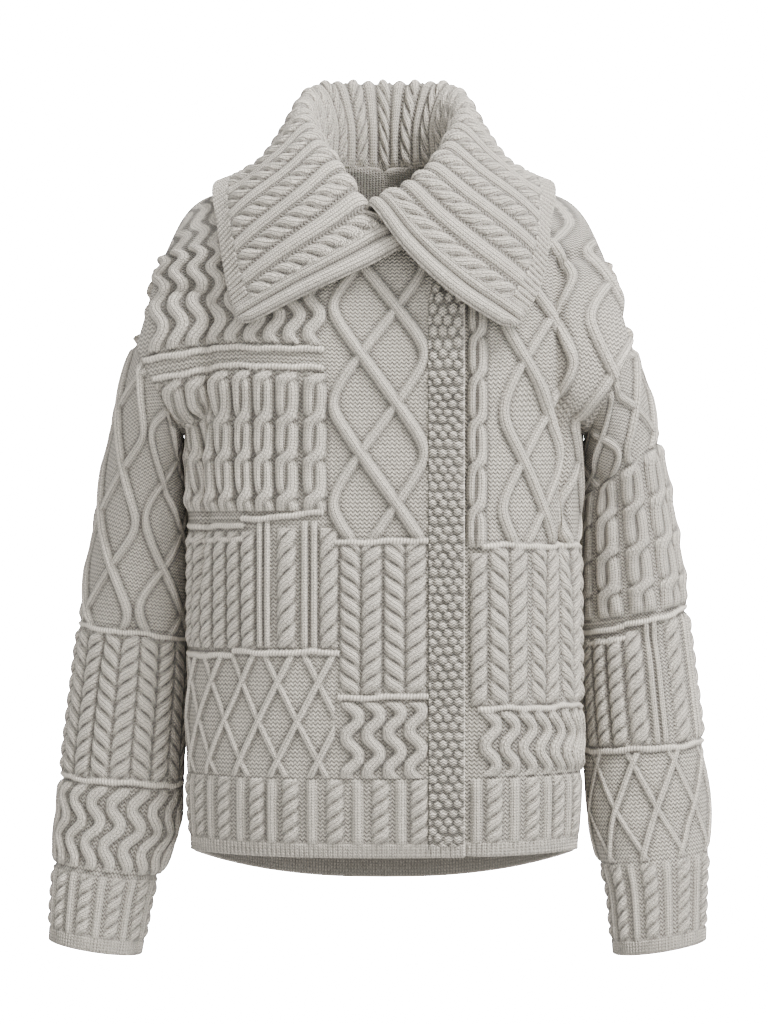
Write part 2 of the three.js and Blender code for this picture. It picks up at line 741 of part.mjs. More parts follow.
function collarCell(i, j) {
  const place = -1 + 2 * i / collarColumns;
  const r = j / collarRows;
  const point = collarPoint(place, r);
  const alongSeam = collarPoint(Math.min(1, place + 0.01), r);
  alongSeam.sub(collarPoint(Math.max(-1, place - 0.01), r));
  const outward = collarPoint(place, Math.min(1, r + 0.01));
  outward.sub(collarPoint(place, Math.max(0, r - 0.01)));
  const normal = alongSeam.cross(outward).normalize();
  const end = i === 0 || i === collarColumns;
  const rise = i % 2 === 1 && j > 0 && !end ? collarRise : 0;
  const outer = point.clone().addScaledVector(normal, wall + rise);
  return { outer, inner: point };
}

const collarGrid = [];
for (let i = 0; i <= collarColumns; i += 1) {
  const column = [];
  for (let j = 0; j <= collarRows; j += 1) {
    column.push(collarCell(i, j));
  }
  collarGrid.push(column);
}
const collarMesh = makeMesh('collar', [makeWall(collarGrid, {
  columns: collarColumns, rows: collarRows, closed: false, flip: false, stride: 2, rimFrom: 0,
})], 0xd2cdc6);

const cardigan = new THREE.Group();
cardigan.name = 'cable_knit_cardigan';
cardigan.add(backMesh);
cardigan.add(frontRightMesh);
cardigan.add(frontLeftMesh);
cardigan.add(bandMesh);
cardigan.add(sleeveMesh('sleeve_right', -1, rightSleeve, 0xcdc8c1));
cardigan.add(sleeveMesh('sleeve_left', 1, leftSleeve, 0xcdc8c1));
cardigan.add(collarMesh);

export default cardigan;
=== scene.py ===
import math

import bpy
import numpy as np
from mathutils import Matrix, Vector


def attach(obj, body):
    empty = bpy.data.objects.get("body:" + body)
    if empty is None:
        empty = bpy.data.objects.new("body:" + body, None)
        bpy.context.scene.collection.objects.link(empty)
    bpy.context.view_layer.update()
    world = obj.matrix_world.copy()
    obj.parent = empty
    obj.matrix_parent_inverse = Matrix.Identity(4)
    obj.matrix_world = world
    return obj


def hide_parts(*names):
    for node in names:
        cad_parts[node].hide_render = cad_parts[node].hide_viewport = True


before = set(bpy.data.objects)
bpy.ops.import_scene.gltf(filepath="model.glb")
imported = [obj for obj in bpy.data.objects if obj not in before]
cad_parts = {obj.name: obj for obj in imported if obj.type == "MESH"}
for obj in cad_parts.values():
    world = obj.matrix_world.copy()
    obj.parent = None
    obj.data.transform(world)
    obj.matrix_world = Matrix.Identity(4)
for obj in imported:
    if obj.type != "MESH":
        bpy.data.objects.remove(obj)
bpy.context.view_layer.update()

# Cloth, in millimetres. X runs to the wearer's left, the front faces -Y and Z is up.
WALL = 3.0
SEAM_GAP = 0.3
ARMHOLE_GAP = 0.5
UNDERARM_UP = 370.0
ARMHOLE_UP = 190.0
TOP_UP = UNDERARM_UP + ARMHOLE_UP
BAND_TOP_UP = 503.0
YOKE_UP = 372.0
YOKE_BLEND = (70.0, 90.0)
YOKE_TILT = 0.5
BACK_NECK_UP = 541.0
BAND_SEAM_ACROSS = 39.0
BAND_WIDTH = 31.0
BAND_BEND = 1.3
UNDERLAP_ACROSS = 8.0
UNDERLAP_DEPTH = 6.2
UNDERLAP_EASE = 24.0
ARM_TOP = np.array([228.0, 0.0, -170.0])
ARM_PIT = np.array([184.0, 0.0, -254.0])
ARM_HALF_DEPTH = 68.0
LEAN_AT_PIT = 0.5
LEAN_AT_TOP = 0.9
OVAL_POWER = 2.4
HEM_FRONT_Z = -627.0
HEM_BACK_DROP = 46.0
UNDERARM_Z = -250.0
MIRROR_X = np.array([-1.0, 1.0, 1.0])

# Body sections below the underarm: cloth height, half width, depth in front, depth behind.
BODY = [
    (0, 177, 131, 133),
    (67, 181, 137, 139),
    (190, 180, 136, 138),
    (290, 180, 131, 134),
    (370, 180.5, 126, 130),
]

# Yoke rows: share of the armhole passed, then chest, fold and flank as across, depth, height.
FRONT_YOKE = [
    (0.3, (80, -121, -198), (140, -98, -210), (172, -76, -226)),
    (0.5, (80, -116, -150), (142, -97, -167), (180, -84, -192)),
    (0.7, (78, -106, -100), (142, -88, -118), (190, -74, -152)),
    (0.82, (85, -93, -70), (152, -75, -89), (198, -55, -127)),
    (0.9, (92, -70, -49), (162, -53, -70), (200, -36, -107)),
    (0.96, (100, -34, -27), (169, -25, -49), (201, -18, -91)),
    (1, (112, 5, -17), (174, 4, -40), (201, 3, -84)),
]
BACK_YOKE = [
    (0.3, (80, 124, -200), (140, 101, -212), (172, 78, -226)),
    (0.5, (80, 120, -152), (142, 101, -167), (180, 85, -192)),
    (0.7, (80, 112, -104), (142, 94, -120), (190, 75, -152)),
    (0.82, (85, 102, -70), (152, 83, -91), (198, 56, -127)),
    (0.9, (92, 84, -46), (162, 61, -70), (200, 38, -107)),
    (0.96, (100, 48, -25), (169, 34, -49), (201, 20, -91)),
    (1, (112, 5, -17), (174, 4, -40), (201, 3, -84)),
]
RIGHT_EDGE = [(-39, -125, -197), (-39, -120, -148), (-39, -110, -96), (12, -103, -82),
              (44, -78, -54), (64, -36, -20), (72, 7, 3)]
LEFT_EDGE = [(8, -126, -197), (8, -121, -148), (8, -111, -96), (20, -100, -78),
             (46, -76, -52), (64, -36, -20), (72, 7, 3)]
BACK_EDGE = [(0, 131, -199), (0, 127, -150), (0, 119, -98), (0, 104, -52),
             (0, 84, -2), (44, 64, 0), (72, 7, 3)]

# Sleeve sections: length along, outer edge, inner edge (across, height), half depth, middle.
SLEEVE = [
    (0, (228, -170), (184, -254), 68, 0),
    (50, (244, -221), (183, -286), 66, 10),
    (108, (258, -285), (180.5, -326), 64, 25),
    (168, (270, -350), (179, -376), 61, 34),
    (232, (280, -415), (179.5, -430), 59, 37),
    (296, (288, -478), (181, -487), 57, 35),
    (358, (295, -540), (184.5, -548), 55, 27),
    (410, (299, -592), (187, -602), 52, 14),
    (446, (301, -627), (199, -639), 48, 3),
    (474, (301, -656), (211, -668), 43, -8),
    (530, (302, -712), (220, -725), 39, -27),
]
SLEEVE_LENGTH = 530.0
SLEEVE_RADIUS = 58.0
CUFF_SHIFT = {"right": 2.0, "left": -10.0}

# Collar sections: place from the centre back, then seam, stand, crest, fall, lay and edge.
COLLAR = [
    (0, (0, 84, -1), (0, 84, 42), (0, 97, 80), (0, 117, 40), (0, 128, 4), (0, 135, -30)),
    (0.2, (44, 64, 1), (44, 66, 42), (58, 78, 76), (78, 97, 36), (88, 105, 0), (98, 110, -36)),
    (0.42, (72, 7, 4), (64, 10, 32), (72, 10, 54), (90, 9, 26), (114, 8, -5), (152, 8, -22)),
    (0.62, (64, -36, -19), (58, -42, 0), (66, -54, 20), (92, -70, -8), (120, -78, -38),
     (146, -76, -70)),
    (0.82, (43, -78, -50), (36, -88, -38), (38, -103, -24), (70, -116, -52),
     (104, -115, -86), (137, -106, -122)),
]
COLLAR_END = {
    "right": (1, (-22, -117, -95), (-25, -119, -93), (-25, -125, -87), (14, -130, -106),
              (68, -131, -131), (126, -120, -160)),
    "left": (1, (-12, -96, -80), (-14, -104, -66), (-11, -127, -54), (18, -141, -92),
             (58, -143, -130), (113, -130, -165)),
}
OVERLAP_OUTWARD = 5.0

# Creases: from and to (across, up), width, depth.
FRONT_CREASES = {
    "right": [
        ((228, 240), (206, 505), 9, 8),
        ((190, 455), (215, 540), 12, 4),
        ((180, 120), (195, 300), 26, 3.5),
        ((80, 150), (60, 330), 34, 2.5),
    ],
    "left": [
        ((182, 250), (152, 550), 8, 9),
        ((150, 110), (168, 290), 24, 3.5),
        ((50, 150), (38, 330), 30, 2.5),
    ],
}
BACK_CREASES = [
    ((190, 290), (222, 460), 12, 6.5),
    ((120, 110), (105, 350), 30, 5),
    ((40, 90), (30, 300), 26, 3.5),
]
SLEEVE_CREASES = [
    ((150, 60), (95, 130), 12, 4.5),
    ((120, 230), (60, 262), 14, 4),
    ((230, 215), (290, 250), 14, 4),
    ((110, 400), (50, 425), 13, 3),
]


def smooth(low, high, value):
    t = np.clip((value - low) / (high - low), 0, 1)
    return t * t * (3 - 2 * t)


def unit(vectors):
    return vectors / np.linalg.norm(vectors, axis=-1, keepdims=True)


def row_curve(points, shares):
    """Points at given shares of a smooth path's length, and that length."""
    p = np.array(points, float)
    ends = np.vstack([2 * p[0] - p[1], p, 2 * p[-1] - p[-2]])
    t = np.linspace(0, 1, 60)[:, None]
    runs = []
    for k in range(len(p) - 1):
        a, b, c, d = ends[k:k + 4]
        before, here, after = (np.linalg.norm(q) ** 0.5 for q in (b - a, c - b, d - c))
        m1 = ((b - a) / before - (c - a) / (before + here) + (c - b) / here) * here
        m2 = ((c - b) / here - (d - b) / (here + after) + (d - c) / after) * here
        curve = b + m1 * t + (3 * (c - b) - 2 * m1 - m2) * t ** 2
        curve = curve + (2 * (b - c) + m1 + m2) * t ** 3
        runs.append(curve[:-1])
    path = np.vstack(runs + [p[-1:]])
    run = np.concatenate([[0], np.cumsum(np.linalg.norm(np.diff(path, axis=0), axis=1))])
    where = np.clip(shares, 0, 1) * run[-1]
    return np.stack([np.interp(where, run, path[:, i]) for i in range(3)], 1), run[-1]


def blend_rows(heights, rows, at, break_at=None, break_share=None):
    """Smooth path through rows of points that lie at uneven heights."""
    h = np.array(heights, float)
    last = len(h) - 1
    low = np.maximum(np.arange(last + 1) - 1, 0)
    high = np.minimum(np.arange(last + 1) + 1, last)
    whole = (rows[high] - rows[low]) / (h[high] - h[low])[:, None, None]
    leaving = whole.copy()
    arriving = whole.copy()
    if break_at is not None:
        share = break_share[:, None]
        step = np.diff(rows, axis=0) / np.diff(h)[:, None, None]
        leaving[break_at] += (step[break_at] - whole[break_at]) * share
        arriving[break_at] += (step[break_at - 1] - whole[break_at]) * share
    k = np.searchsorted(h[1:-1], at, side="left")
    span = h[k + 1] - h[k]
    t = ((at - h[k]) / span)[:, None, None]
    span = span[:, None, None]
    point = rows[k] * (2 * t ** 3 - 3 * t ** 2 + 1) + rows[k + 1] * (3 * t ** 2 - 2 * t ** 3)
    point = point + leaving[k] * span * (t ** 3 - 2 * t ** 2 + t)
    return point + arriving[k + 1] * span * (t ** 3 - t ** 2)


ARM_MIDDLE = (ARM_TOP + ARM_PIT) / 2
ARM_HALF = (ARM_PIT - ARM_TOP) / 2
ARM_DOWN = ARM_HALF / np.linalg.norm(ARM_HALF)
ARM_OUT = np.array([-ARM_DOWN[2], 0, ARM_DOWN[0]])


def armhole_point(share, face):
    angle = np.pi * np.asarray(share, float)[..., None]
    point = ARM_MIDDLE + ARM_HALF * np.cos(angle)
    return point + np.array([0, face * ARM_HALF_DEPTH, 0]) * np.sin(angle)


def armhole_normal(share, face):
    share = np.asarray(share, float)[..., None]
    angle = np.pi * share
    normal = ARM_DOWN * np.cos(angle) * ARM_HALF_DEPTH / np.linalg.norm(ARM_HALF)
    normal = unit(normal + np.array([0, face, 0]) * np.sin(angle))
    return unit(normal + ARM_OUT * (LEAN_AT_PIT + (LEAN_AT_TOP - LEAN_AT_PIT) * share))


def armhole_across(share, face):
    tangent = armhole_point(share + 0.01, face) - armhole_point(share - 0.01, face)
    across = unit(np.cross(tangent, armhole_normal(share, face)))
    return across * np.sign(across @ ARM_OUT)[..., None]


def oval_point(section, angle, face):
    up, half_width, front, behind = section
    depth = front if face < 0 else behind
    sine, cosine = np.sin(angle), np.cos(angle)
    x = half_width * np.sign(sine) * np.abs(sine) ** (2 / OVAL_POWER)
    y = face * depth * np.abs(cosine) ** (2 / OVAL_POWER)
    hem = HEM_FRONT_Z - HEM_BACK_DROP * (0.5 + 0.5 * y / depth) ** 3
    return np.stack([x, y, hem + (UNDERARM_Z - hem) * up / UNDERARM_UP], -1)


def crease_depth(creases, across, up):
    depth = 0
    for start, end, width, deep in creases:
        run = np.subtract(end, start)
        length = np.hypot(*run)
        x, y = across - start[0], up - start[1]
        along = (x * run[0] + y * run[1]) / length
        aside = (x * run[1] - y * run[0]) / length
        fade = smooth(-30, 30, along) * (1 - smooth(length - 30, length + 30, along))
        depth = depth + deep * fade * np.exp(-(aside / width) ** 2)
    return depth


def grid_normals(points, closed=False):
    """Directions square to a grid of points, from its second axis to its first."""
    if closed:
        wide = np.concatenate([points[:, -1:], points, points[:, :1]], 1)
        along = (wide[:, 2:] - wide[:, :-2])
    else:
        along = np.gradient(points, axis=1)
    return unit(np.cross(along, np.gradient(points, axis=0)))


def panel_base(face, start_across, yoke, edges, shares, ups, creases, tuck=None):
    """A body panel on its own side: points, outward directions and across of each point."""
    heights, rows, lengths = [], [], []
    for section in BODY:
        turn = (abs(start_across) / section[1]) ** (OVAL_POWER / 2)
        start = np.sign(start_across) * math.asin(turn)
        points = oval_point(section, np.linspace(start, math.pi / 2, 10), face)
        if section[0] == UNDERARM_UP:
            points[-1] = ARM_PIT
        row, length = row_curve(points, shares)
        heights.append(section[0])
        rows.append(row)
        lengths.append(length)
    for (share, chest, fold, flank), edge in zip(yoke, edges):
        points = [edge, chest, fold, flank, armhole_point(share, face)]
        row, length = row_curve(points, shares)
        heights.append(UNDERARM_UP + ARMHOLE_UP * share)
        rows.append(row)
        lengths.append(length)
    side = smooth(0.8, 1, shares)
    points = blend_rows(heights, np.array(rows), ups, len(BODY) - 1, side)
    share = np.maximum((ups - UNDERARM_UP) / ARMHOLE_UP, 0)
    ring = armhole_point(share, face)
    to_ring = (ring - points[:, -1]) * (ups >= UNDERARM_UP)[:, None]
    points = points + to_ring[:, None, :] * side[None, :, None]
    across = shares[None, :] * np.interp(ups, heights, lengths)[:, None]
    up = np.repeat(ups[:, None], len(shares), 1)
    normals = grid_normals(points) * -face
    fade = (1 - smooth(0.9, 0.98, shares)[None, :]) * (1 - smooth(TOP_UP - 30, TOP_UP - 6, up))
    sink = crease_depth(creases, across, up) * fade
    if tuck is not None:
        under = 1 - smooth(tuck, tuck + UNDERLAP_EASE, points[..., 0])
        sink = sink + UNDERLAP_DEPTH * under * (1 - smooth(TOP_UP - 60, TOP_UP - 25, up))
    points = points - normals * sink[..., None]
    near = smooth(0.93, 1, shares)[None, :, None] * (ups >= UNDERARM_UP)[:, None, None]
    leaning = armhole_normal(share, face)[:, None, :]
    normals = unit(grid_normals(points) * -face * (1 - near) + leaning * near)
    back_off = armhole_across(share, face)[:, None, :] * (-ARMHOLE_GAP / 2)
    points = points + back_off * near
    points[:, -1, 1] += face * SEAM_GAP / 2
    points[-1, :, 1] += face * SEAM_GAP / 2
    row = np.argmin(np.abs(ups - YOKE_UP))
    forward = YOKE_TILT * (1 - smooth(0.5, 0.9, shares)) * np.abs(points[..., 1])
    height = points[..., 2] - forward
    climb = height - height[row]
    yoke_share = smooth(YOKE_UP - YOKE_BLEND[0], YOKE_UP + YOKE_BLEND[1], up)
    across = across + (points[..., 0] - start_across - across) * yoke_share
    up = up + (ups[row] + climb - up) * (up > ups[row])
    return points, normals, across, up


def band_base(shares, ups):
    """The front band past the right front's edge, on its own side."""
    near = np.array([0, 0.01, 0.03])
    base = panel_base(-1, -BAND_SEAM_ACROSS, FRONT_YOKE, RIGHT_EDGE,
                      np.concatenate([near, np.linspace(0.1, 1, 8)]), ups, [])[0]
    away = unit(base[:, 0] - base[:, 2])
    reach = SEAM_GAP + (BAND_WIDTH - SEAM_GAP) * shares
    points = base[:, :1] + away[:, None, :] * reach[None, :, None]
    points[..., 1] += BAND_BEND * shares[None, :] ** 2
    normals = np.repeat(grid_normals(base)[:, :1], len(shares), 1)
    across = np.repeat(reach[None, :], len(ups), 0)
    return points, normals, across, np.repeat(ups[:, None], len(shares), 1)


def sleeve_base(angles, alongs, shift, creases):
    """A sleeve on the wearer's left: angle 0 is its outer edge and 90 degrees its front."""
    rows = []
    for along, outer, inner, half_depth, middle in SLEEVE:
        outer = np.array([outer[0], middle, outer[1]], float)
        inner = np.array([inner[0], middle, inner[1]], float)
        row = (outer + inner) / 2 + (outer - inner) / 2 * np.cos(angles)[:, None]
        row[:, 1] -= half_depth * np.sin(angles)
        row[:, 0] += shift * smooth(0.78, 1, along / SLEEVE_LENGTH)
        rows.append(row)
    points = blend_rows([s[0] for s in SLEEVE], np.array(rows), alongs)
    across = np.repeat((angles * SLEEVE_RADIUS)[None, :], len(alongs), 0)
    along = np.repeat(alongs[:, None], len(angles), 1)
    normals = grid_normals(points, closed=True)
    sink = crease_depth(creases, across, along) * smooth(10, 50, along)
    points = points - normals * sink[..., None]
    front = angles <= math.pi
    share = np.where(front, 1 - angles / math.pi, angles / math.pi - 1)
    leaning = np.where(front[:, None], armhole_normal(share, -1), armhole_normal(share, 1))
    outward = np.where(front[:, None], armhole_across(share, -1), armhole_across(share, 1))
    near = (1 - smooth(0, 16, alongs))[:, None, None]
    normals = unit(grid_normals(points, closed=True) * (1 - near) + leaning[None] * near)
    points = points + outward[None] * near * ARMHOLE_GAP / 2
    return points, normals, across, SLEEVE_LENGTH - along


def collar_base(places, shares):
    """The collar from its right end (-1) to its left end (1), seam (0) to outer edge (1)."""
    def half(end, push, spots):
        rows, spot = [], []
        for section in COLLAR + [COLLAR_END[end]]:
            points = np.array(section[1:], float)
            if section[0] < 1:
                points[2:, 1] -= push * smooth(0.6, 0.85, section[0])
            rows.append(row_curve(points, shares)[0])
            spot.append(section[0])
        rows = np.array([rows[1] * MIRROR_X] + rows)
        return blend_rows([-spot[1]] + spot, rows, spots)
    right = half("right", 0, -places[places < 0]) * MIRROR_X
    left = half("left", OVERLAP_OUTWARD, places[places >= 0])
    points = np.concatenate([right, left]).transpose(1, 0, 2)
    return points, grid_normals(points)


# Knitted relief. Each strand is a rounded ridge of knit stitches over a purl ground.
KNIT, PURL, RIDGE, MOSS = 0.0, 1.0, 2.0, 3.0
RELIEF = 1.25
TURN = 2 * math.pi


class Knit:
    """Height of knitted cloth, and the lie of its stitches, at points across and up it."""

    def __init__(self, across, up):
        self.a = across.ravel()
        self.b = up.ravel()
        self.high = np.zeros_like(self.a)
        self.aside = self.a.copy()
        self.along = self.b.copy()
        self.lean = np.zeros_like(self.a)
        self.kind = np.full_like(self.a, PURL)

    def inside(self, left, right, low, high):
        return np.flatnonzero((self.a >= left) & (self.a <= right)
                              & (self.b >= low) & (self.b <= high))

    def put(self, pick, high, aside, along, lean, kind):
        win = high > self.high[pick]
        pick = pick[win]
        for old, new in ((self.high, high), (self.aside, aside), (self.along, along),
                         (self.lean, lean), (self.kind, kind)):
            old[pick] = np.broadcast_to(new, win.shape)[win]

    def strand(self, pick, middle, slope, lift, half, rise, ends):
        lean = np.arctan(slope)
        aside = (self.a[pick] - middle) * np.cos(lean)
        near = np.abs(aside) < half * 1.15
        pick, aside, lean = pick[near], aside[near], lean[near]
        lift = np.broadcast_to(lift, near.shape)[near]
        ends = np.broadcast_to(ends, near.shape)[near]
        high = RELIEF * (lift + rise * (1 - np.abs(aside / half) ** 2.1)) * ends
        along = self.b[pick] * 1.06 + aside * np.tan(lean)
        self.put(pick, high, aside, along, lean, KNIT)


def fade_ends(b, low, high):
    return 0.5 + 0.5 * smooth(0, 7, b - low) * smooth(0, 7, high - b)


def plait(knit, middle, low, high, width, pitch, turn, slant=0.5, rise=5.4, start=0.0):
    """A tight rope: slanted lobes, each tucked under the next. Slant is a lobe's climb."""
    half = width / 2
    pick = knit.inside(middle - half, middle + half, low, high)
    x = (knit.a[pick] - middle) / half
    b = knit.b[pick]
    climb = slant * pitch
    level = (b - low - turn * climb * (0.72 * x + 0.42 * x ** 3)) / pitch + start
    share = level - np.floor(level)
    lobe = (1 - np.abs(2 * share ** 0.85 - 1) ** 2.2) ** 0.8
    wide = np.abs(x) / (0.86 + 0.14 * lobe)
    body = np.clip(1 - wide ** 2.5, 0, 1) ** 0.8
    high_here = rise * body * (0.12 + 0.88 * lobe) * fade_ends(b, low, high)
    lean = turn * np.arctan(half / (climb * (0.72 + 1.26 * x ** 2)))
    aside = -np.sin(lean) * (share - 0.5) * pitch
    along = knit.a[pick] * np.sin(lean) + b * np.cos(lean)
    knit.put(pick, high_here, aside, along, lean, KNIT)


def plaits(knit, first, pitch, count, low, high, period, turn, width=0.9, **more):
    for k in range(count):
        plait(knit, first + pitch * k, low, high, pitch * width, period, turn,
              start=0.13 * k % 1, **more)


def oval(knit, middle, low, high, width, period, turn, cross, rise=4.4):
    """Two strands that lie side by side and change places at each crossing."""
    pick = knit.inside(middle - width * 0.6, middle + width * 0.6, low, high)
    b = knit.b[pick]
    phase = np.pi * ((b - cross) / period + 0.5)
    swing = width * 0.24
    square = 1.9
    ends = fade_ends(b, low, high)
    for side in (1, -1):
        wave = side * np.cos(phase)
        pace = -side * np.sin(phase)
        bent = np.tanh(square * wave) / np.tanh(square)
        bend = square * (1 - np.tanh(square * wave) ** 2) / np.tanh(square)
        slope = swing * bend * pace * np.pi / period
        lift = 1.7 * pace * turn * np.exp(-(wave / 0.7) ** 2)
        knit.strand(pick, middle + swing * bent, slope, lift, width * 0.29, rise, ends)


def waves(knit, left, right, low, high, count, period, sway, half, skip=0.1, rise=4.4):
    """Ribs that sway side by side."""
    pitch = (right - left) / count
    for k in range(count):
        middle = left + pitch * (k + 0.5)
        pick = knit.inside(middle - sway - half * 1.3, middle + sway + half * 1.3, low, high)
        b = knit.b[pick]
        phase = TURN * ((b - low) / period + skip * k)
        path = middle + sway * np.sin(phase)
        slope = sway * TURN / period * np.cos(phase)
        knit.strand(pick, path, slope, 0, half, rise, fade_ends(b, low, high))


def vine(knit, left, right, low, high, count, step, turn, half=5.2, start=0.0, rise=4.0):
    """Strands that sway right across and cross each other; step is the rise between crossings."""
    bow = 0.95
    pick = knit.inside(left - half, right + half, low, high)
    b = knit.b[pick]
    middle = (left + right) / 2
    sway = (right - left) / 2 - half
    period = step * count
    ends = fade_ends(b, low, high)
    for k in range(count):
        phase = TURN * ((b - low) / period + k / count + start)
        path = middle + sway * np.arcsin(bow * np.sin(phase)) / math.asin(bow)
        pace = np.cos(phase) / np.sqrt(1 - (bow * np.sin(phase)) ** 2)
        slope = sway * TURN / period * pace * bow / math.asin(bow)
        knit.strand(pick, path, slope, 0.9 * turn * np.clip(pace * 1.6, -1, 1), half, rise, ends)


def diamonds(knit, left, right, low, high, pitch, rise, turn, cross, half=3.3):
    """Thin strands in two slanted families; rise is half a diamond's height."""
    pick = knit.inside(left, right, low, high)
    b = knit.b[pick]
    ends = fade_ends(b, low, high)
    slope = pitch / 2 / rise
    reach = slope * max(high - cross[1], cross[1] - low)
    for lean in (1, -1):
        first = int((left - reach - cross[0]) // pitch) - 1
        last = int((right + reach - cross[0]) // pitch) + 2
        for k in range(first, last):
            path = cross[0] + pitch * k + lean * slope * (b - cross[1])
            knit.strand(pick, path, np.full_like(b, lean * slope), 0.5 * lean * turn, half, 3.0,
                        ends)


def ribs(knit, middles, low, high, half, rise=2.9):
    for middle in middles:
        pick = knit.inside(middle - half * 1.3, middle + half * 1.3, low, high)
        b = knit.b[pick]
        knit.strand(pick, middle, np.zeros_like(b), 0, half, rise, fade_ends(b, low, high))


def welt(knit, left, right, level, tilt=0.0, half=2.8, rise=3.1):
    """A level ridge of turned stitches."""
    pick = knit.inside(left, right, level - 12 - abs(tilt), level + 12 + abs(tilt))
    a = knit.a[pick]
    off = knit.b[pick] - level - tilt * (a - left) / (right - left)
    off = off - 0.9 * np.sin(a / 13) - 0.5 * np.sin(a / 5.3 + 1)
    near = np.abs(off) < half
    pick, off = pick[near], off[near]
    high = rise * (1 - (off / half) ** 2) + 0.5
    knit.put(pick, high, off, knit.a[pick], 0.0, RIDGE)


def flat(knit, left, right, low, high, kind, level=0.0):
    pick = knit.inside(left, right, low, high)
    knit.kind[pick] = kind
    knit.high[pick] = np.maximum(knit.high[pick], level)


def moss(knit, left, right, low, high, wide=8.9, tall=14.8, rise=4.6):
    """Seed-like bumps in a chequer."""
    pick = knit.inside(left, right, low, high)
    a, b = knit.a[pick] - left, knit.b[pick] - low
    best = np.zeros_like(a)
    for shift in (0, 0.5):
        column, row = np.round(a / wide + shift), np.round(b / tall + shift)
        uneven = np.sin(12.9 * column + 78.2 * row + 31.7 * shift) * 43758.5
        uneven = uneven - np.floor(uneven) - 0.5
        x = (a / wide + shift - column) * wide + 0.9 * uneven
        y = (b / tall + shift - row) * tall + 1.2 * np.sin(9 * uneven)
        bump = 1 - (x / (wide * 0.44)) ** 2 - (y / (tall * 0.26)) ** 2
        best = np.maximum(best, bump * (1 + 0.3 * uneven))
    knit.high[pick] = rise * np.clip(best, 0, 1) ** 0.9
    knit.kind[pick] = MOSS


def edge_rib(knit, left, right, low, high, half=1.9, pitch=4.3):
    """One-by-one rib."""
    pick = knit.inside(left, right, low, high)
    a, b = knit.a[pick], knit.b[pick]
    off = (a / pitch + 0.5) % 1 * pitch - pitch / 2
    knit.high[pick] = 1.9 * np.maximum(1 - (off / half) ** 2, -0.2) + 0.6
    knit.aside[pick] = off
    knit.kind[pick] = KNIT


def hem_band(knit, ropes_at, ribs_at, low, high, turn, rope_width=15.5, rib_half=5.2):
    """Flat ribs between small ropes, above a fine rib along the edge."""
    ribs(knit, ribs_at, low + 9, high, rib_half, 2.6)
    for middle in ropes_at:
        plait(knit, middle, low + 11, high, rope_width, 12.4, turn, rise=4.8)


def right_front(knit):
    turn = -1
    hem_band(knit, [262, 226, 190, 154, 122, 82, 42, 8], [280, 244, 208, 171, 139.5, 102.5, 62, 24],
             0, 66, turn)
    edge_rib(knit, -5, 320, 0, 11)
    waves(knit, 2, 76, 68, 134, 4, 33, 5.2, 5.8, skip=0.06)
    welt(knit, -2, 80, 138)
    for middle, lean in ((69, 1), (50, -1), (30, 1), (11, -1)):
        plait(knit, middle, 141, 270, 18.5, 14, lean, slant=0.55)
    welt(knit, -2, 92, 272)
    vine(knit, -1.7, 89, 274, 700, 3, 88, 1, start=0.136)
    diamonds(knit, 82, 320, 68, 174, 37, 34, turn, (97, 82))
    welt(knit, 78, 182, 176)
    welt(knit, 182, 320, 172)
    plaits(knit, 164.5, 17.5, 10, 178, 280, 14, turn)
    ribs(knit, [151.5, 144, 109.5, 101], 180, 290, 3.2, 3.0)
    plait(knit, 126, 180, 284, 17.5, 16.5, turn, slant=0.6)
    plait(knit, 88, 180, 284, 17, 16.5, turn, slant=0.6)
    welt(knit, 92, 172, 297, tilt=-6)
    welt(knit, 168, 330, 273)
    welt(knit, 168, 330, 285)
    for middle, width in ((100, 21), (125, 21), (146.5, 19), (166, 18), (187, 20), (208, 20),
                          (229, 20), (250, 20), (271, 20), (292, 20)):
        oval(knit, middle, 298, 417, width, 34, turn, 310)
    welt(knit, 92, 330, 421)
    welt(knit, 92, 330, 438)
    waves(knit, 92, 250, 443, 760, 9, 38, 4.6, 6.6, skip=0.03)


def left_front(knit):
    turn = 1
    hem_band(knit, [91, 130, 163, 199, 235], [75, 111, 148, 181, 217, 253], 0, 66, turn)
    edge_rib(knit, -5, 320, 0, 11)
    waves(knit, 78, 282, 70, 124, 11, 34, 5.0, 5.7, skip=0.05)
    welt(knit, 76, 300, 127)
    for middle, lean in ((96, -1), (115, 1), (139, -1), (158, 1), (181, -1), (200, 1), (222, -1),
                         (241, 1)):
        plait(knit, middle, 130, 266, 18.5, 16, lean, slant=0.55)
    welt(knit, 80, 300, 268)
    plait(knit, 77, 130, 262, 15, 16, turn)
    oval(knit, 75, 268, 560, 17, 38, turn, 300)
    vine(knit, 94, 166, 270, 760, 3, 84, -1, start=0.632)
    vine(knit, 172, 252, 270, 760, 3, 84, -1, start=0.3)


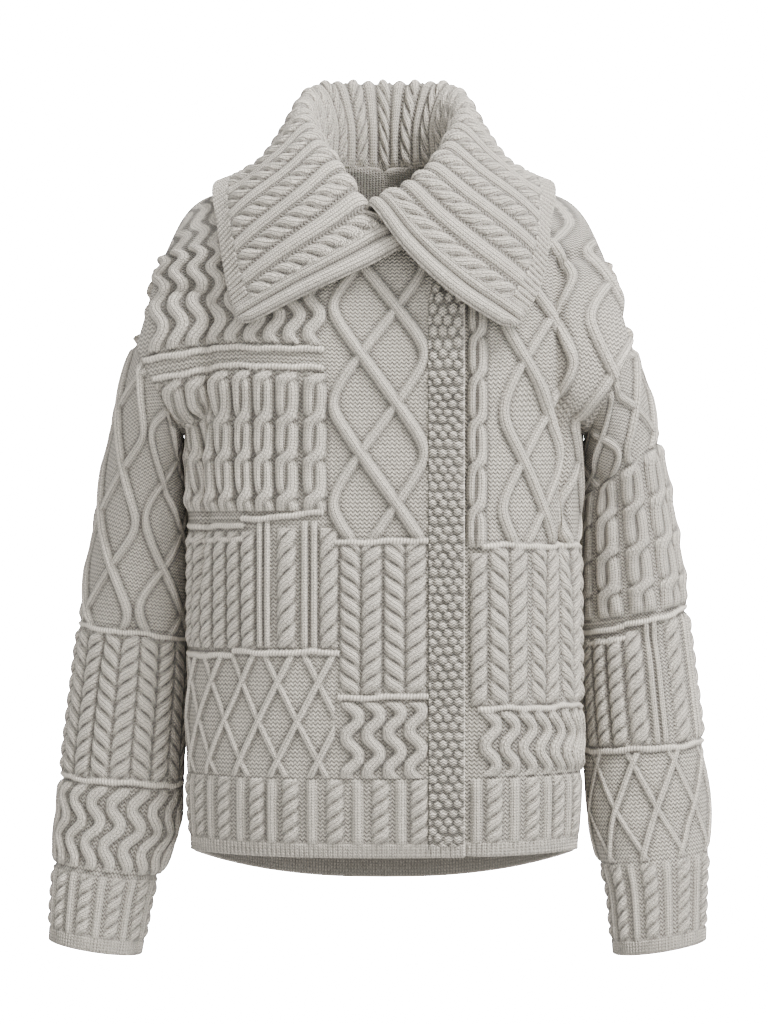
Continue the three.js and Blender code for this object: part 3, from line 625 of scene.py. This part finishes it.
def back_knit(knit):
    at = np.arange(-7, 8)
    hem_band(knit, list(at * 37.0), list(at * 37.0 + 18.5), 0, 66, 1)
    edge_rib(knit, -330, 330, 0, 11)
    welt(knit, -330, -70, 174)
    welt(knit, 70, 330, 174)
    welt(knit, -330, 330, 272)
    waves(knit, 72, 330, 68, 172, 14, 34, 5.0, 5.8, skip=0.05)
    diamonds(knit, -330, -72, 68, 172, 37, 34, 1, (-97, 82))
    vine(knit, -68, 68, 68, 270, 4, 62, 1)
    for k in range(14):
        plait(knit, -80 - 18.5 * k, 178, 268, 18.0, 14.5, 1 - 2 * (k % 2), slant=0.55)
    plaits(knit, 80, 17.5, 14, 178, 268, 14, 1)
    vine(knit, -46, 46, 276, 760, 3, 88, 1)
    for side in (-1, 1):
        for k in range(10):
            oval(knit, side * (62 + 21.5 * k), 276, 417, 20, 34, side, 300)
        welt(knit, *sorted((side * 50, side * 330)), 421)
        welt(knit, *sorted((side * 50, side * 330)), 438)
        waves(knit, *sorted((side * 50, side * 274)), 443, 760, 12, 37, 4.6, 5.8, skip=0.04)


def right_sleeve(knit):
    turn = 1
    at = np.arange(10)
    hem_band(knit, list(2 + 36.4 * at), list(20.2 + 36.4 * at), 0, 64, turn, 17)
    edge_rib(knit, -5, 370, 0, 11)
    waves(knit, 0, 364, 68, 142, 18, 36, 5.4, 6.4, skip=0.04)
    welt(knit, -5, 370, 146)
    for k in range(18):
        plait(knit, 10.1 + 20.2 * k, 149, 282, 19.8, 15, 1 - 2 * (k % 2), slant=0.6)
    welt(knit, -5, 370, 285)
    for k in range(4):
        vine(knit, 91 * k + 1, 91 * k + 90, 288, 545, 3, 88, -1, start=0.2 + 0.13 * k)


def left_sleeve(knit):
    turn = -1
    at = np.arange(9)
    hem_band(knit, list(22.5 + 40.5 * at), list(42.7 + 40.5 * at), 0, 76, turn, 18)
    edge_rib(knit, -5, 370, 0, 11)
    diamonds(knit, -5, 370, 78, 174, 40.5, 40, turn, (65, 164))
    welt(knit, -5, 370, 176)
    plaits(knit, 116, 18.0, 14, 180, 284, 14, turn)
    plait(knit, 96, 180, 288, 19, 16.5, turn, slant=0.6)
    ribs(knit, [80, 71.5, 29, 20.5], 180, 296, 3.4, 3.0)
    plait(knit, 50, 180, 296, 20, 16.5, turn, slant=0.6)
    plait(knit, 3, 180, 296, 19, 16.5, turn, slant=0.6)
    welt(knit, 104, 190, 280)
    welt(knit, 104, 190, 292)
    welt(knit, -5, 104, 302, tilt=-8)
    welt(knit, 188, 370, 288)
    for k in range(10):
        oval(knit, 9 + 36.4 * k, 304, 444, 29, 38, turn, 330)
    for k in range(4):
        vine(knit, 91 * k + 1, 91 * k + 90, 446, 545, 3, 66, -1, start=0.2 + 0.13 * k)


def band_knit(knit):
    moss(knit, -5, 40, 8, 520)
    edge_rib(knit, -5, 40, 0, 9)


COLLAR_LENGTH = 760.0
COLLAR_DEPTH = 190.0
COLLAR_FLOW = 40.0


def collar_knit(knit):
    """Across runs along the collar, up from the neck seam to the outer edge."""
    half = COLLAR_LENGTH / 2
    period = 35.5
    for k in range(-10, 11):
        middle = k * period
        plait(knit, middle, 2, COLLAR_DEPTH - 18, 17.5, 16.5, 1 if k < 0 else -1, slant=0.75,
              rise=5.2)
        if k < 10:
            ribs(knit, [middle + period / 2], 2, COLLAR_DEPTH - 14, 6.8, 2.8)
    flat(knit, -half - 5, -half + 24, 0, COLLAR_DEPTH + 5, PURL)
    for middle in (-half + 17.5, -half + 6, half - 17.5, half - 6):
        ribs(knit, [middle], -1, COLLAR_DEPTH + 2, 5.8, 2.8)
    edge_rib(knit, -half + 22, half - 22, COLLAR_DEPTH - 17, COLLAR_DEPTH + 5, pitch=5.4, half=2.4)


# Meshes. A piece is one closed shell: a fine outside, rolled edges and a plainer inside.
GROUND = -0.5
# FLAT_SHADE, INSIDE_SHADE and SHADE_REACH set painted light and shade in the colour: flat cloth
# gets 0.62, the inside of the shell 0.35, and a point's level rises or falls with its height over
# the mean around it, divided by SHADE_REACH.
FLAT_SHADE = 0.62
INSIDE_SHADE = 0.35
SHADE_REACH = 3.0


def affine_corners(knit, across, up, corners):
    """Stitch coordinates at each corner of a face, taken from the face's own strand."""
    cos, sin = np.cos(knit.lean)[:, None], np.sin(knit.lean)[:, None]
    da = across.ravel()[corners] - knit.a[:, None]
    db = up.ravel()[corners] - knit.b[:, None]
    aside = knit.aside[:, None] + da * cos - db * sin
    along = knit.along[:, None] + da * sin + db * cos
    ridge = (knit.kind == RIDGE)[:, None]
    aside = np.where(ridge, knit.aside[:, None] + db, aside)
    along = np.where(ridge, knit.along[:, None] + da, along)
    kind = np.broadcast_to(knit.kind[:, None], aside.shape)
    return np.stack([aside, along, kind], -1)


def grid_quads(ids):
    return np.stack([ids[:-1, :-1], ids[:-1, 1:], ids[1:, 1:], ids[1:, :-1]], -1).reshape(-1, 4)


def grid_loop(ids):
    """Edge of a grid, once round."""
    return np.concatenate([ids[0, :-1], ids[:-1, -1], ids[-1, :0:-1], ids[:0:-1, 0]])


def blurred(high, closed):
    """Mean height within a few millimetres of each point of a grid."""
    reach = 3
    size = 2 * reach + 1
    wide = np.pad(high, ((reach, reach), (0, 0)), "edge")
    wide = np.pad(wide, ((0, 0), (reach, reach)), "wrap" if closed else "edge")
    rows = sum(wide[k:k + high.shape[0]] for k in range(size)) / size
    return sum(rows[:, k:k + high.shape[1]] for k in range(size)) / size


class Piece:
    """Points of a piece with their cloth coordinates, and the fine and plain faces on them."""

    def __init__(self, name, points, normals, across, up, work, stride=4):
        self.name = name
        self.points = points.reshape(-1, 3)
        self.normals = normals.reshape(-1, 3)
        self.across = across.ravel().copy()
        self.up = up.ravel().copy()
        self.work = work
        self.stride = stride
        self.quads = []
        self.plain = []
        self.loops = []
        self.shaded = []
        self.fade = np.ones(len(self.across))
        self.roll = np.zeros(len(self.across))

    def grid(self, ids, closed=False):
        step = self.stride
        self.shaded.append((ids, closed))
        if closed:
            ids = np.concatenate([ids, ids[:, :1]], 1)
        self.quads.append(grid_quads(ids))
        self.plain.append(grid_quads(ids[::step, ::step]))

    def build(self, side=1, lift=0.0):
        quads = np.concatenate(self.quads)
        plain = np.concatenate(self.plain)
        corner = self.points[quads]
        facing = np.cross(corner[:, 1] - corner[:, 0], corner[:, 3] - corner[:, 0])
        turned = np.sum(facing * self.normals[quads[:, 0]]) < 0
        knit = Knit(self.across, self.up)
        self.work(knit)
        centre = Knit(self.across[quads].mean(1), self.up[quads].mean(1))
        self.work(centre)
        high = (knit.high + GROUND + lift) * self.fade + (-0.4 + lift) * (1 - self.fade)
        outer = self.points + self.normals * high[:, None]
        inner = self.points + self.normals * (lift - WALL)
        count = len(outer)
        verts = [outer, inner]
        faces = [quads, plain[:, ::-1] + count]
        # Painted light and shade for the colour: lighter on strand tops, darker in grooves between
        # strands, and a flat painted shade on the inside.
        painted_light_share = np.full(count, FLAT_SHADE)
        for ids, closed in self.shaded:
            high = knit.high[ids]
            proud = high - blurred(high, closed)
            painted_light_share[ids] = np.clip(FLAT_SHADE + proud / SHADE_REACH, 0, 1)
        deep = [painted_light_share, np.full(count, INSIDE_SHADE)]
        cloth = np.stack([self.across, self.up, np.full(count, KNIT)], -1)
        marks = [affine_corners(centre, self.across, self.up, quads), cloth[plain[:, ::-1]]]
        total = count * 2
        triangles, triangle_marks = [], []
        for loop in self.loops:
            tangent = np.roll(self.points[loop], -1, 0) - np.roll(self.points[loop], 1, 0)
            out = unit(np.cross(tangent, self.normals[loop])) * (-1 if turned else 1)
            roll = self.roll[loop][:, None]
            before = loop
            for share in (0.12, 0.34, 0.66, 0.88):
                ring = outer[loop] * (1 - share) + inner[loop] * share
                ring = ring + out * roll * math.sqrt(1 - (2 * share - 1) ** 2)
                ids = total + np.arange(len(loop))
                total += len(loop)
                verts.append(ring)
                # Painted shade on the rolled rims: a flat level of 0.75.
                deep.append(np.full(len(loop), 0.75))
                band = np.stack([before, ids, np.roll(ids, -1), np.roll(before, -1)], -1)
                faces.append(band)
                spot = cloth[loop]
                spot_next = np.roll(spot, -1, 0)
                marks.append(np.stack([spot, spot, spot_next, spot_next], 1))
                before = ids
            step = self.stride
            corners = loop[::step] + count
            following = np.roll(corners, -1)
            half = step // 2
            for k in range(step):
                a = before[k::step]
                b = np.roll(before, -1)[k::step]
                apex = corners if k < half else following
                triangles.append(np.stack([a, apex, b], -1))
            triangles.append(np.stack([before[half::step], corners, following], -1))
            spots = cloth[loop[::step]]
            for _ in range(step + 1):
                triangle_marks.append(np.repeat(spots[:, None], 3, 1))
        verts = np.concatenate(verts)
        deep = np.concatenate(deep)
        quads = np.concatenate(faces)
        quad_marks = np.concatenate(marks)
        used = np.zeros(len(verts), bool)
        used[quads.ravel()] = True
        if triangles:
            tris = np.concatenate(triangles)
            tri_marks = np.concatenate(triangle_marks)
            used[tris.ravel()] = True
        else:
            tris = np.zeros((0, 3), int)
            tri_marks = np.zeros((0, 3, 3))
        new_id = np.cumsum(used) - 1
        verts, deep = verts[used], deep[used]
        quads, tris = new_id[quads], new_id[tris]
        if side < 0:
            verts = verts * MIRROR_X
        if turned != (side < 0):
            quads, quad_marks = quads[:, ::-1], quad_marks[:, ::-1]
            tris, tri_marks = tris[:, ::-1], tri_marks[:, ::-1]
        return add_mesh(self.name, verts / 1000, quads, tris, quad_marks, tri_marks, deep)


def add_mesh(name, verts, quads, tris, quad_marks, tri_marks, deep):
    mesh = bpy.data.meshes.new(name)
    mesh.vertices.add(len(verts))
    mesh.vertices.foreach_set("co", verts.ravel())
    corners = np.concatenate([quads.ravel(), tris.ravel()]).astype(np.int32)
    mesh.loops.add(len(corners))
    mesh.loops.foreach_set("vertex_index", corners)
    sizes = np.concatenate([np.full(len(quads), 4), np.full(len(tris), 3)])
    starts = np.concatenate([[0], np.cumsum(sizes)[:-1]]).astype(np.int32)
    mesh.polygons.add(len(sizes))
    mesh.polygons.foreach_set("loop_start", starts)
    mesh.polygons.foreach_set("use_smooth", np.ones(len(sizes), bool))
    mesh.update(calc_edges=True)
    marks = np.concatenate([quad_marks.reshape(-1, 3), tri_marks.reshape(-1, 3)])
    stitch = mesh.attributes.new("stitch", "FLOAT_VECTOR", "CORNER")
    stitch.data.foreach_set("vector", marks.astype(np.float32).ravel())
    # Painted light level per point, read by the material to lighten strand tops and darken grooves,
    # rims and the inside.
    depth = mesh.attributes.new("painted_light_level", "FLOAT", "POINT")
    depth.data.foreach_set("value", deep.astype(np.float32))
    mesh.validate()
    piece = bpy.data.objects.new(name, mesh)
    bpy.context.scene.collection.objects.link(piece)
    return piece


# Materials. The yarn's colour and stitches follow the "stitch" attribute of the faces; a painted
# light level per point darkens the colour in grooves, on rims and inside, and lightens strand tops.
# Sizes in millimetres; swaying rows have a column's width, a share of sway and a row's height.
KNIT_COLUMN = 2.9
KNIT_COURSE = 2.7
PURL_STITCH = (4.1, 0.24, 3.6)
SEED_STITCH = (4.7, 0.3, 2.3)


class Nodes:
    """Short names for building a material's nodes."""

    def __init__(self, name):
        self.material = bpy.data.materials.new(name)
        self.material.use_nodes = True
        self.tree = self.material.node_tree
        self.shader = self.tree.nodes["Principled BSDF"]

    def add(self, kind, **values):
        node = self.tree.nodes.new(kind)
        for name, value in values.items():
            setattr(node, name, value)
        return node

    def link(self, out, into):
        self.tree.links.new(out, into)
        return out

    def math(self, operation, first, second=None, third=None, clamp=False):
        node = self.add("ShaderNodeMath", operation=operation, use_clamp=clamp)
        for k, value in enumerate((first, second, third)):
            if value is None:
                continue
            if isinstance(value, (int, float)):
                node.inputs[k].default_value = value
            else:
                self.link(value, node.inputs[k])
        return node.outputs[0]

    def noise(self, vector, scale, detail=2.0, rough=0.5):
        node = self.add("ShaderNodeTexNoise")
        node.inputs["Scale"].default_value = scale
        node.inputs["Detail"].default_value = detail
        node.inputs["Roughness"].default_value = rough
        self.link(vector, node.inputs["Vector"])
        return node.outputs["Fac"]

    def blend(self, amount, low, high):
        node = self.add("ShaderNodeMix", data_type="FLOAT")
        for socket, value in ((node.inputs[0], amount), (node.inputs[2], low),
                              (node.inputs[3], high)):
            if isinstance(value, (int, float)):
                socket.default_value = value
            else:
                self.link(value, socket)
        return node.outputs[0]

    def colour(self, amount, low, high):
        node = self.add("ShaderNodeMix", data_type="RGBA")
        self.link(amount, node.inputs[0])
        for socket, value in ((node.inputs[6], low), (node.inputs[7], high)):
            if isinstance(value, tuple):
                socket.default_value = (*value, 1)
            else:
                self.link(value, socket)
        return node.outputs[2]


def knit_material(name, pale, dark):
    n = Nodes(name)
    place = n.add("ShaderNodeTexCoord").outputs["Object"]
    mark = n.add("ShaderNodeAttribute", attribute_name="stitch").outputs["Vector"]
    split = n.add("ShaderNodeSeparateXYZ")
    n.link(mark, split.inputs[0])
    aside, along, kind = split.outputs
    # Painted light and shade: a per-point level, high on strand tops and low in grooves, on rims
    # and on the inside.
    painted_light_level = n.add("ShaderNodeAttribute", attribute_name="painted_light_level").outputs["Fac"]
    wobble = n.math("SUBTRACT", n.noise(place, 260), 0.5)
    aside = n.math("MULTIPLY_ADD", wobble, 1.1, aside)
    along = n.math("MULTIPLY_ADD", n.math("SUBTRACT", n.noise(place, 330), 0.5), 1.1, along)

    column = n.math("FRACT", n.math("MULTIPLY", aside, 1 / KNIT_COLUMN))
    leg = n.math("MULTIPLY", n.math("ABSOLUTE", n.math("SUBTRACT", column, 0.5)), 2)
    edge = n.math("SUBTRACT", 1, n.math("POWER", leg, 2.6))
    parting = n.math("MULTIPLY_ADD", n.math("MULTIPLY", leg, 3, clamp=True), 0.4, 0.6)
    course = n.math("SUBTRACT", n.math("MULTIPLY", along, 1 / KNIT_COURSE),
                    n.math("MULTIPLY", leg, 0.6))
    row = n.math("MULTIPLY_ADD", n.math("SINE", n.math("MULTIPLY", course, TURN)), 0.5, 0.5)
    knit = n.math("MULTIPLY", n.math("MULTIPLY", edge, parting),
                  n.math("MULTIPLY_ADD", row, 0.55, 0.45))

    def swaying_rows(column, sway, course):
        level = n.math("MULTIPLY_ADD", n.math("SINE", n.math("MULTIPLY", aside, TURN / column)),
                       sway, n.math("MULTIPLY", along, 1 / course))
        return n.math("MULTIPLY_ADD", n.math("SINE", n.math("MULTIPLY", level, TURN)), 0.5, 0.5)

    purl = swaying_rows(*PURL_STITCH)
    seed = swaying_rows(*SEED_STITCH)
    nibs = n.math("MULTIPLY_ADD", along, 1 / KNIT_COLUMN, n.math("MULTIPLY", aside, 0.05))
    ridge = n.math("MULTIPLY_ADD", n.math("SINE", n.math("MULTIPLY", nibs, TURN)), 0.3, 0.7)

    is_purl = n.math("COMPARE", kind, PURL, 0.4)
    is_ridge = n.math("COMPARE", kind, RIDGE, 0.4)
    is_moss = n.math("COMPARE", kind, MOSS, 0.4)
    height = n.blend(is_purl, knit, purl)
    height = n.blend(is_ridge, height, ridge)
    height = n.blend(is_moss, height, seed)
    fuzz = n.noise(place, 1900, 3.0, 0.6)
    bumps = n.math("MULTIPLY_ADD", fuzz, 0.5, height)

    bump = n.add("ShaderNodeBump")
    bump.inputs["Strength"].default_value = 1.0
    bump.inputs["Distance"].default_value = 0.0024
    n.link(bumps, bump.inputs["Height"])
    n.link(bump.outputs[0], n.shader.inputs["Normal"])

    marl = n.noise(place, 900, 2.0, 0.7)
    marl = n.math("MULTIPLY_ADD", n.math("SUBTRACT", marl, 0.5), 2.3, 0.5, clamp=True)
    slow = n.math("SUBTRACT", n.noise(place, 22), 0.5)
    # Tone: the stitch height paints shade into the creases between stitch columns and rows; marl
    # and the slow noise are the yarn's own variation.
    tone = n.math("MULTIPLY_ADD", height, 0.7, n.math("MULTIPLY", marl, 0.42))
    tone = n.math("ADD", n.math("MULTIPLY_ADD", slow, 0.16, tone), 0.04, clamp=True)
    # Painted shade: the colour darkens where the painted light level is low, in grooves between
    # strands and inside the shell.
    painted_groove_shade = n.math("POWER", n.math("MULTIPLY_ADD", painted_light_level, 1.1, 0.1, clamp=True), 1.5)
    tone = n.math("MULTIPLY", tone, n.math("MULTIPLY_ADD", painted_groove_shade, 0.84, 0.16))
    n.link(n.colour(tone, dark, pale), n.shader.inputs["Base Color"])
    n.link(n.math("MULTIPLY_ADD", marl, 0.12, 0.82), n.shader.inputs["Roughness"])
    n.shader.inputs["Sheen Weight"].default_value = 0.18
    n.shader.inputs["Sheen Roughness"].default_value = 0.5
    n.shader.inputs["Specular IOR Level"].default_value = 0.25
    return n.material


WOOL = knit_material("oatmeal_wool", (0.93, 0.85, 0.725), (0.055, 0.048, 0.038))


def even(count, step=4):
    count = count
    return max(step, int(round(count / step)) * step)


def finish_piece(piece, side, node, lift=0.0):
    made = piece.build(side, lift)
    made.data.materials.append(WOOL)
    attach(made, "root")
    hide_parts(node)
    return made


def panel_fade(share, up):
    """Relief of a body panel: low under the arm and none along the armhole and shoulder."""
    fade = 1 - 0.8 * smooth(0.86, 0.95, share) * (1 - smooth(380, 420, up))
    return fade * (1 - smooth(0.985, 1, share)) * (1 - smooth(TOP_UP - 7, TOP_UP, up))


def front_panel(name, node, side, start, edges, columns, tuck, work, creases):
    shares = np.linspace(0, 1, even(columns) + 1)
    ups = np.linspace(0, TOP_UP, even(384) + 1)
    base = panel_base(-1, start, FRONT_YOKE, edges, shares, ups, creases, tuck)
    piece = Piece(name, *base, work)
    ids = np.arange(len(ups) * len(shares)).reshape(len(ups), len(shares))
    piece.grid(ids)
    piece.loops.append(grid_loop(ids))
    share, up = np.broadcast_to(shares, ids.shape), base[3]
    fade = panel_fade(share, up)
    if tuck is not None:
        fade = fade * smooth(tuck - 3, tuck + 6, base[0][..., 0])
    piece.fade = fade.ravel()
    piece.roll = (1.6 * (1 - smooth(0, 6, up))).ravel()
    return finish_piece(piece, side, node)


front_right = front_panel("front_right_knit", "front_right", -1, -BAND_SEAM_ACROSS, RIGHT_EDGE,
                          204, None, right_front, FRONT_CREASES["right"])
front_left = front_panel("front_left_knit", "front_left", 1, UNDERLAP_ACROSS, LEFT_EDGE,
                         172, BAND_SEAM_ACROSS + BAND_WIDTH, left_front, FRONT_CREASES["left"])


def back_panel():
    half = even(136)
    shares = np.linspace(0, 1, half + 1)
    below, above = even(284), even(12)
    ups = np.concatenate([np.linspace(0, BACK_NECK_UP, below + 1),
                          np.linspace(BACK_NECK_UP, TOP_UP, above + 1)[1:]])
    base = panel_base(1, 0, BACK_YOKE, BACK_EDGE, shares, ups, BACK_CREASES)
    points, normals, across, up = base
    for straight in (points, normals):
        straight[:below + 1, 0, 0] = 0
    normals = unit(normals)
    left = np.arange(up.size).reshape(up.shape)
    right = left + up.size
    right[:below + 1, 0] = left[:below + 1, 0]
    both = [np.concatenate([a, b]) for a, b in (
        (points, points * MIRROR_X), (normals, normals * MIRROR_X), (across, -across), (up, up))]
    piece = Piece("back_knit", *both, back_knit)
    piece.grid(left)
    piece.grid(right[:, ::-1])
    across_all = np.concatenate([right[:, :0:-1], left], 1)
    loop = np.concatenate([
        across_all[0, :-1], left[:-1, -1], left[-1, :0:-1], left[-1:below:-1, 0],
        right[below:-1, 0], right[-1, :-1], right[:0:-1, -1]])
    piece.loops.append(loop)
    piece.shaded.append((across_all, False))
    share = np.broadcast_to(np.tile(shares, (len(ups), 1)), up.shape)
    fade = panel_fade(share, up)
    piece.fade = np.concatenate([fade, fade]).ravel()
    piece.roll = np.concatenate([1.6 * (1 - smooth(0, 6, up))] * 2).ravel()
    return finish_piece(piece, 1, "back")


back = back_panel()


def band_piece():
    shares = np.linspace(0, 1, even(24) + 1)
    ups = np.linspace(0, BAND_TOP_UP, even(368) + 1)
    base = band_base(shares, ups)
    piece = Piece("front_band_knit", *base, band_knit)
    ids = np.arange(base[2].size).reshape(base[2].shape)
    piece.grid(ids)
    piece.loops.append(grid_loop(ids))
    piece.roll = np.where(base[3] < 4, 1.6, np.where(base[2] > 4, 1.3, 0)).ravel()
    return finish_piece(piece, -1, "front_band")


front_band = band_piece()


def sleeve_piece(name, node, side, shift, work):
    front, behind = even(132), even(96)
    angles = np.concatenate([np.linspace(0, math.pi, front + 1)[:-1],
                             np.linspace(math.pi, TURN, behind + 1)[:-1]])
    alongs = np.linspace(0, SLEEVE_LENGTH, even(316) + 1)
    base = sleeve_base(angles, alongs, shift, SLEEVE_CREASES)
    piece = Piece(name, *base, work)
    ids = np.arange(base[2].size).reshape(base[2].shape)
    piece.grid(ids, closed=True)
    piece.loops.append(ids[0])
    piece.loops.append(np.roll(ids[-1, ::-1], 1))
    inward = smooth(0.6, 0.9, -np.cos(angles))[None, :] * smooth(70, 150, base[3])
    piece.fade = ((1 - 0.85 * inward) * smooth(0, 7, alongs)[:, None]).ravel()
    piece.roll = (1.6 * (1 - smooth(0, 6, base[3]))).ravel()
    return finish_piece(piece, side, node)


sleeve_right = sleeve_piece("sleeve_right_knit", "sleeve_right", -1, CUFF_SHIFT["right"],
                            right_sleeve)
sleeve_left = sleeve_piece("sleeve_left_knit", "sleeve_left", 1, CUFF_SHIFT["left"], left_sleeve)


def round_corners(points, normals, places, shares):
    """Draw the grid in so that the outer corners of the collar are round."""
    radius = 15.0
    from_end = (1 - np.abs(places))[None, :] * COLLAR_LENGTH / 2
    from_edge = (1 - shares)[:, None] * COLLAR_DEPTH
    x = np.maximum(radius - from_end, 0) + 0 * from_edge
    y = np.maximum(radius - from_edge, 0) + 0 * from_end
    reach = np.maximum(np.maximum(x, y), 1e-6) / np.maximum(np.hypot(x, y), 1e-6)
    place = np.sign(places)[None, :] * (1 - (radius - x * reach) / (COLLAR_LENGTH / 2))
    place = np.where(x > 0, place, places[None, :] + 0 * x)
    share = np.where(y > 0, 1 - (radius - y * reach) / COLLAR_DEPTH, shares[:, None] + 0 * y)
    column = (place + 1) / 2 * (len(places) - 1)
    row = share * (len(shares) - 1)
    left = np.clip(np.floor(column).astype(int), 0, len(places) - 2)
    low = np.clip(np.floor(row).astype(int), 0, len(shares) - 2)
    u, v = (column - left)[..., None], (row - low)[..., None]

    def between(grid):
        lower = grid[low, left] * (1 - u) + grid[low, left + 1] * u
        upper = grid[low + 1, left] * (1 - u) + grid[low + 1, left + 1] * u
        return lower * (1 - v) + upper * v
    return between(points), unit(between(normals))


def collar_piece():
    places = np.linspace(-1, 1, even(500) + 1)
    shares = np.linspace(0, 1, even(116) + 1)
    points, normals = round_corners(*collar_base(places, shares), places, shares)
    across = np.repeat((places * COLLAR_LENGTH / 2)[None, :], len(shares), 0)
    flow = COLLAR_FLOW * (np.sin(np.pi * places) * (1 - 0.25 * np.abs(places)))[None, :]
    across = across + flow * smooth(0.3, 1.1, shares)[:, None]
    up = np.repeat((shares * COLLAR_DEPTH)[:, None], len(places), 1)
    piece = Piece("collar_knit", points, normals, across, up, collar_knit)
    ids = np.arange(up.size).reshape(up.shape)
    piece.grid(ids)
    piece.loops.append(grid_loop(ids))
    piece.fade = smooth(0, 6, up).ravel()
    piece.roll = (1.8 * smooth(10, 20, up)).ravel()
    return finish_piece(piece, 1, "collar", WALL)


collar = collar_piece()


# Floor and backdrop, lights and camera, in metres.
FLOOR_Z = -0.93
COVE = 1.2
CAMERA_PLACE = (0, -3.0, -0.3238)
CAMERA_LENS = 114.65


def backdrop():
    profile = [(-4.0, 0.0)]
    profile += [(2.2 + COVE * math.sin(t), COVE * (1 - math.cos(t)))
                for t in np.linspace(0, math.pi / 2, 25)]
    profile.append((2.2 + COVE, 5.0))
    verts = [(x, y, z + FLOOR_Z) for y, z in profile for x in (-6.0, 6.0)]
    faces = [(2 * k, 2 * k + 1, 2 * k + 3, 2 * k + 2) for k in range(len(profile) - 1)]
    mesh = bpy.data.meshes.new("backdrop")
    mesh.from_pydata(verts, [], faces)
    mesh.polygons.foreach_set("use_smooth", [True] * len(faces))
    sheet = bpy.data.objects.new("backdrop", mesh)
    bpy.context.scene.collection.objects.link(sheet)
    paint = bpy.data.materials.new("white_paint")
    paint.use_nodes = True
    shader = paint.node_tree.nodes["Principled BSDF"]
    shader.inputs["Base Color"].default_value = (0.93, 0.93, 0.93, 1)
    shader.inputs["Roughness"].default_value = 0.9
    shader.inputs["Emission Color"].default_value = (1, 1, 1, 1)
    shader.inputs["Emission Strength"].default_value = 40.0
    mesh.materials.append(paint)
    sheet.visible_diffuse = False
    sheet.visible_glossy = False


backdrop()


def area_light(name, place, aim, size, power):
    lamp = bpy.data.lights.new(name, "AREA")
    lamp.shape = "RECTANGLE"
    lamp.size, lamp.size_y = size
    lamp.energy = power
    item = bpy.data.objects.new(name, lamp)
    item.location = place
    towards = Vector(aim) - Vector(place)
    item.rotation_euler = towards.to_track_quat("-Z", "Y").to_euler()
    bpy.context.scene.collection.objects.link(item)


area_light("key", (1.25, -1.1, 1.75), (0, 0, -0.35), (0.9, 0.9), 165)
area_light("front", (0.9, -3.4, 0.2), (0, 0, -0.4), (2.4, 2.4), 95)

world = bpy.data.worlds.new("studio")
world.use_nodes = True
world.node_tree.nodes["Background"].inputs["Color"].default_value = (1, 1, 1, 1)
world.node_tree.nodes["Background"].inputs["Strength"].default_value = 1.3
bpy.context.scene.world = world

lens = bpy.data.cameras.new("camera")
lens.sensor_width = 36
lens.lens = CAMERA_LENS
camera = bpy.data.objects.new("camera", lens)
camera.location = CAMERA_PLACE
camera.rotation_euler = (math.pi / 2, 0, 0)
bpy.context.scene.collection.objects.link(camera)
bpy.context.scene.camera = camera
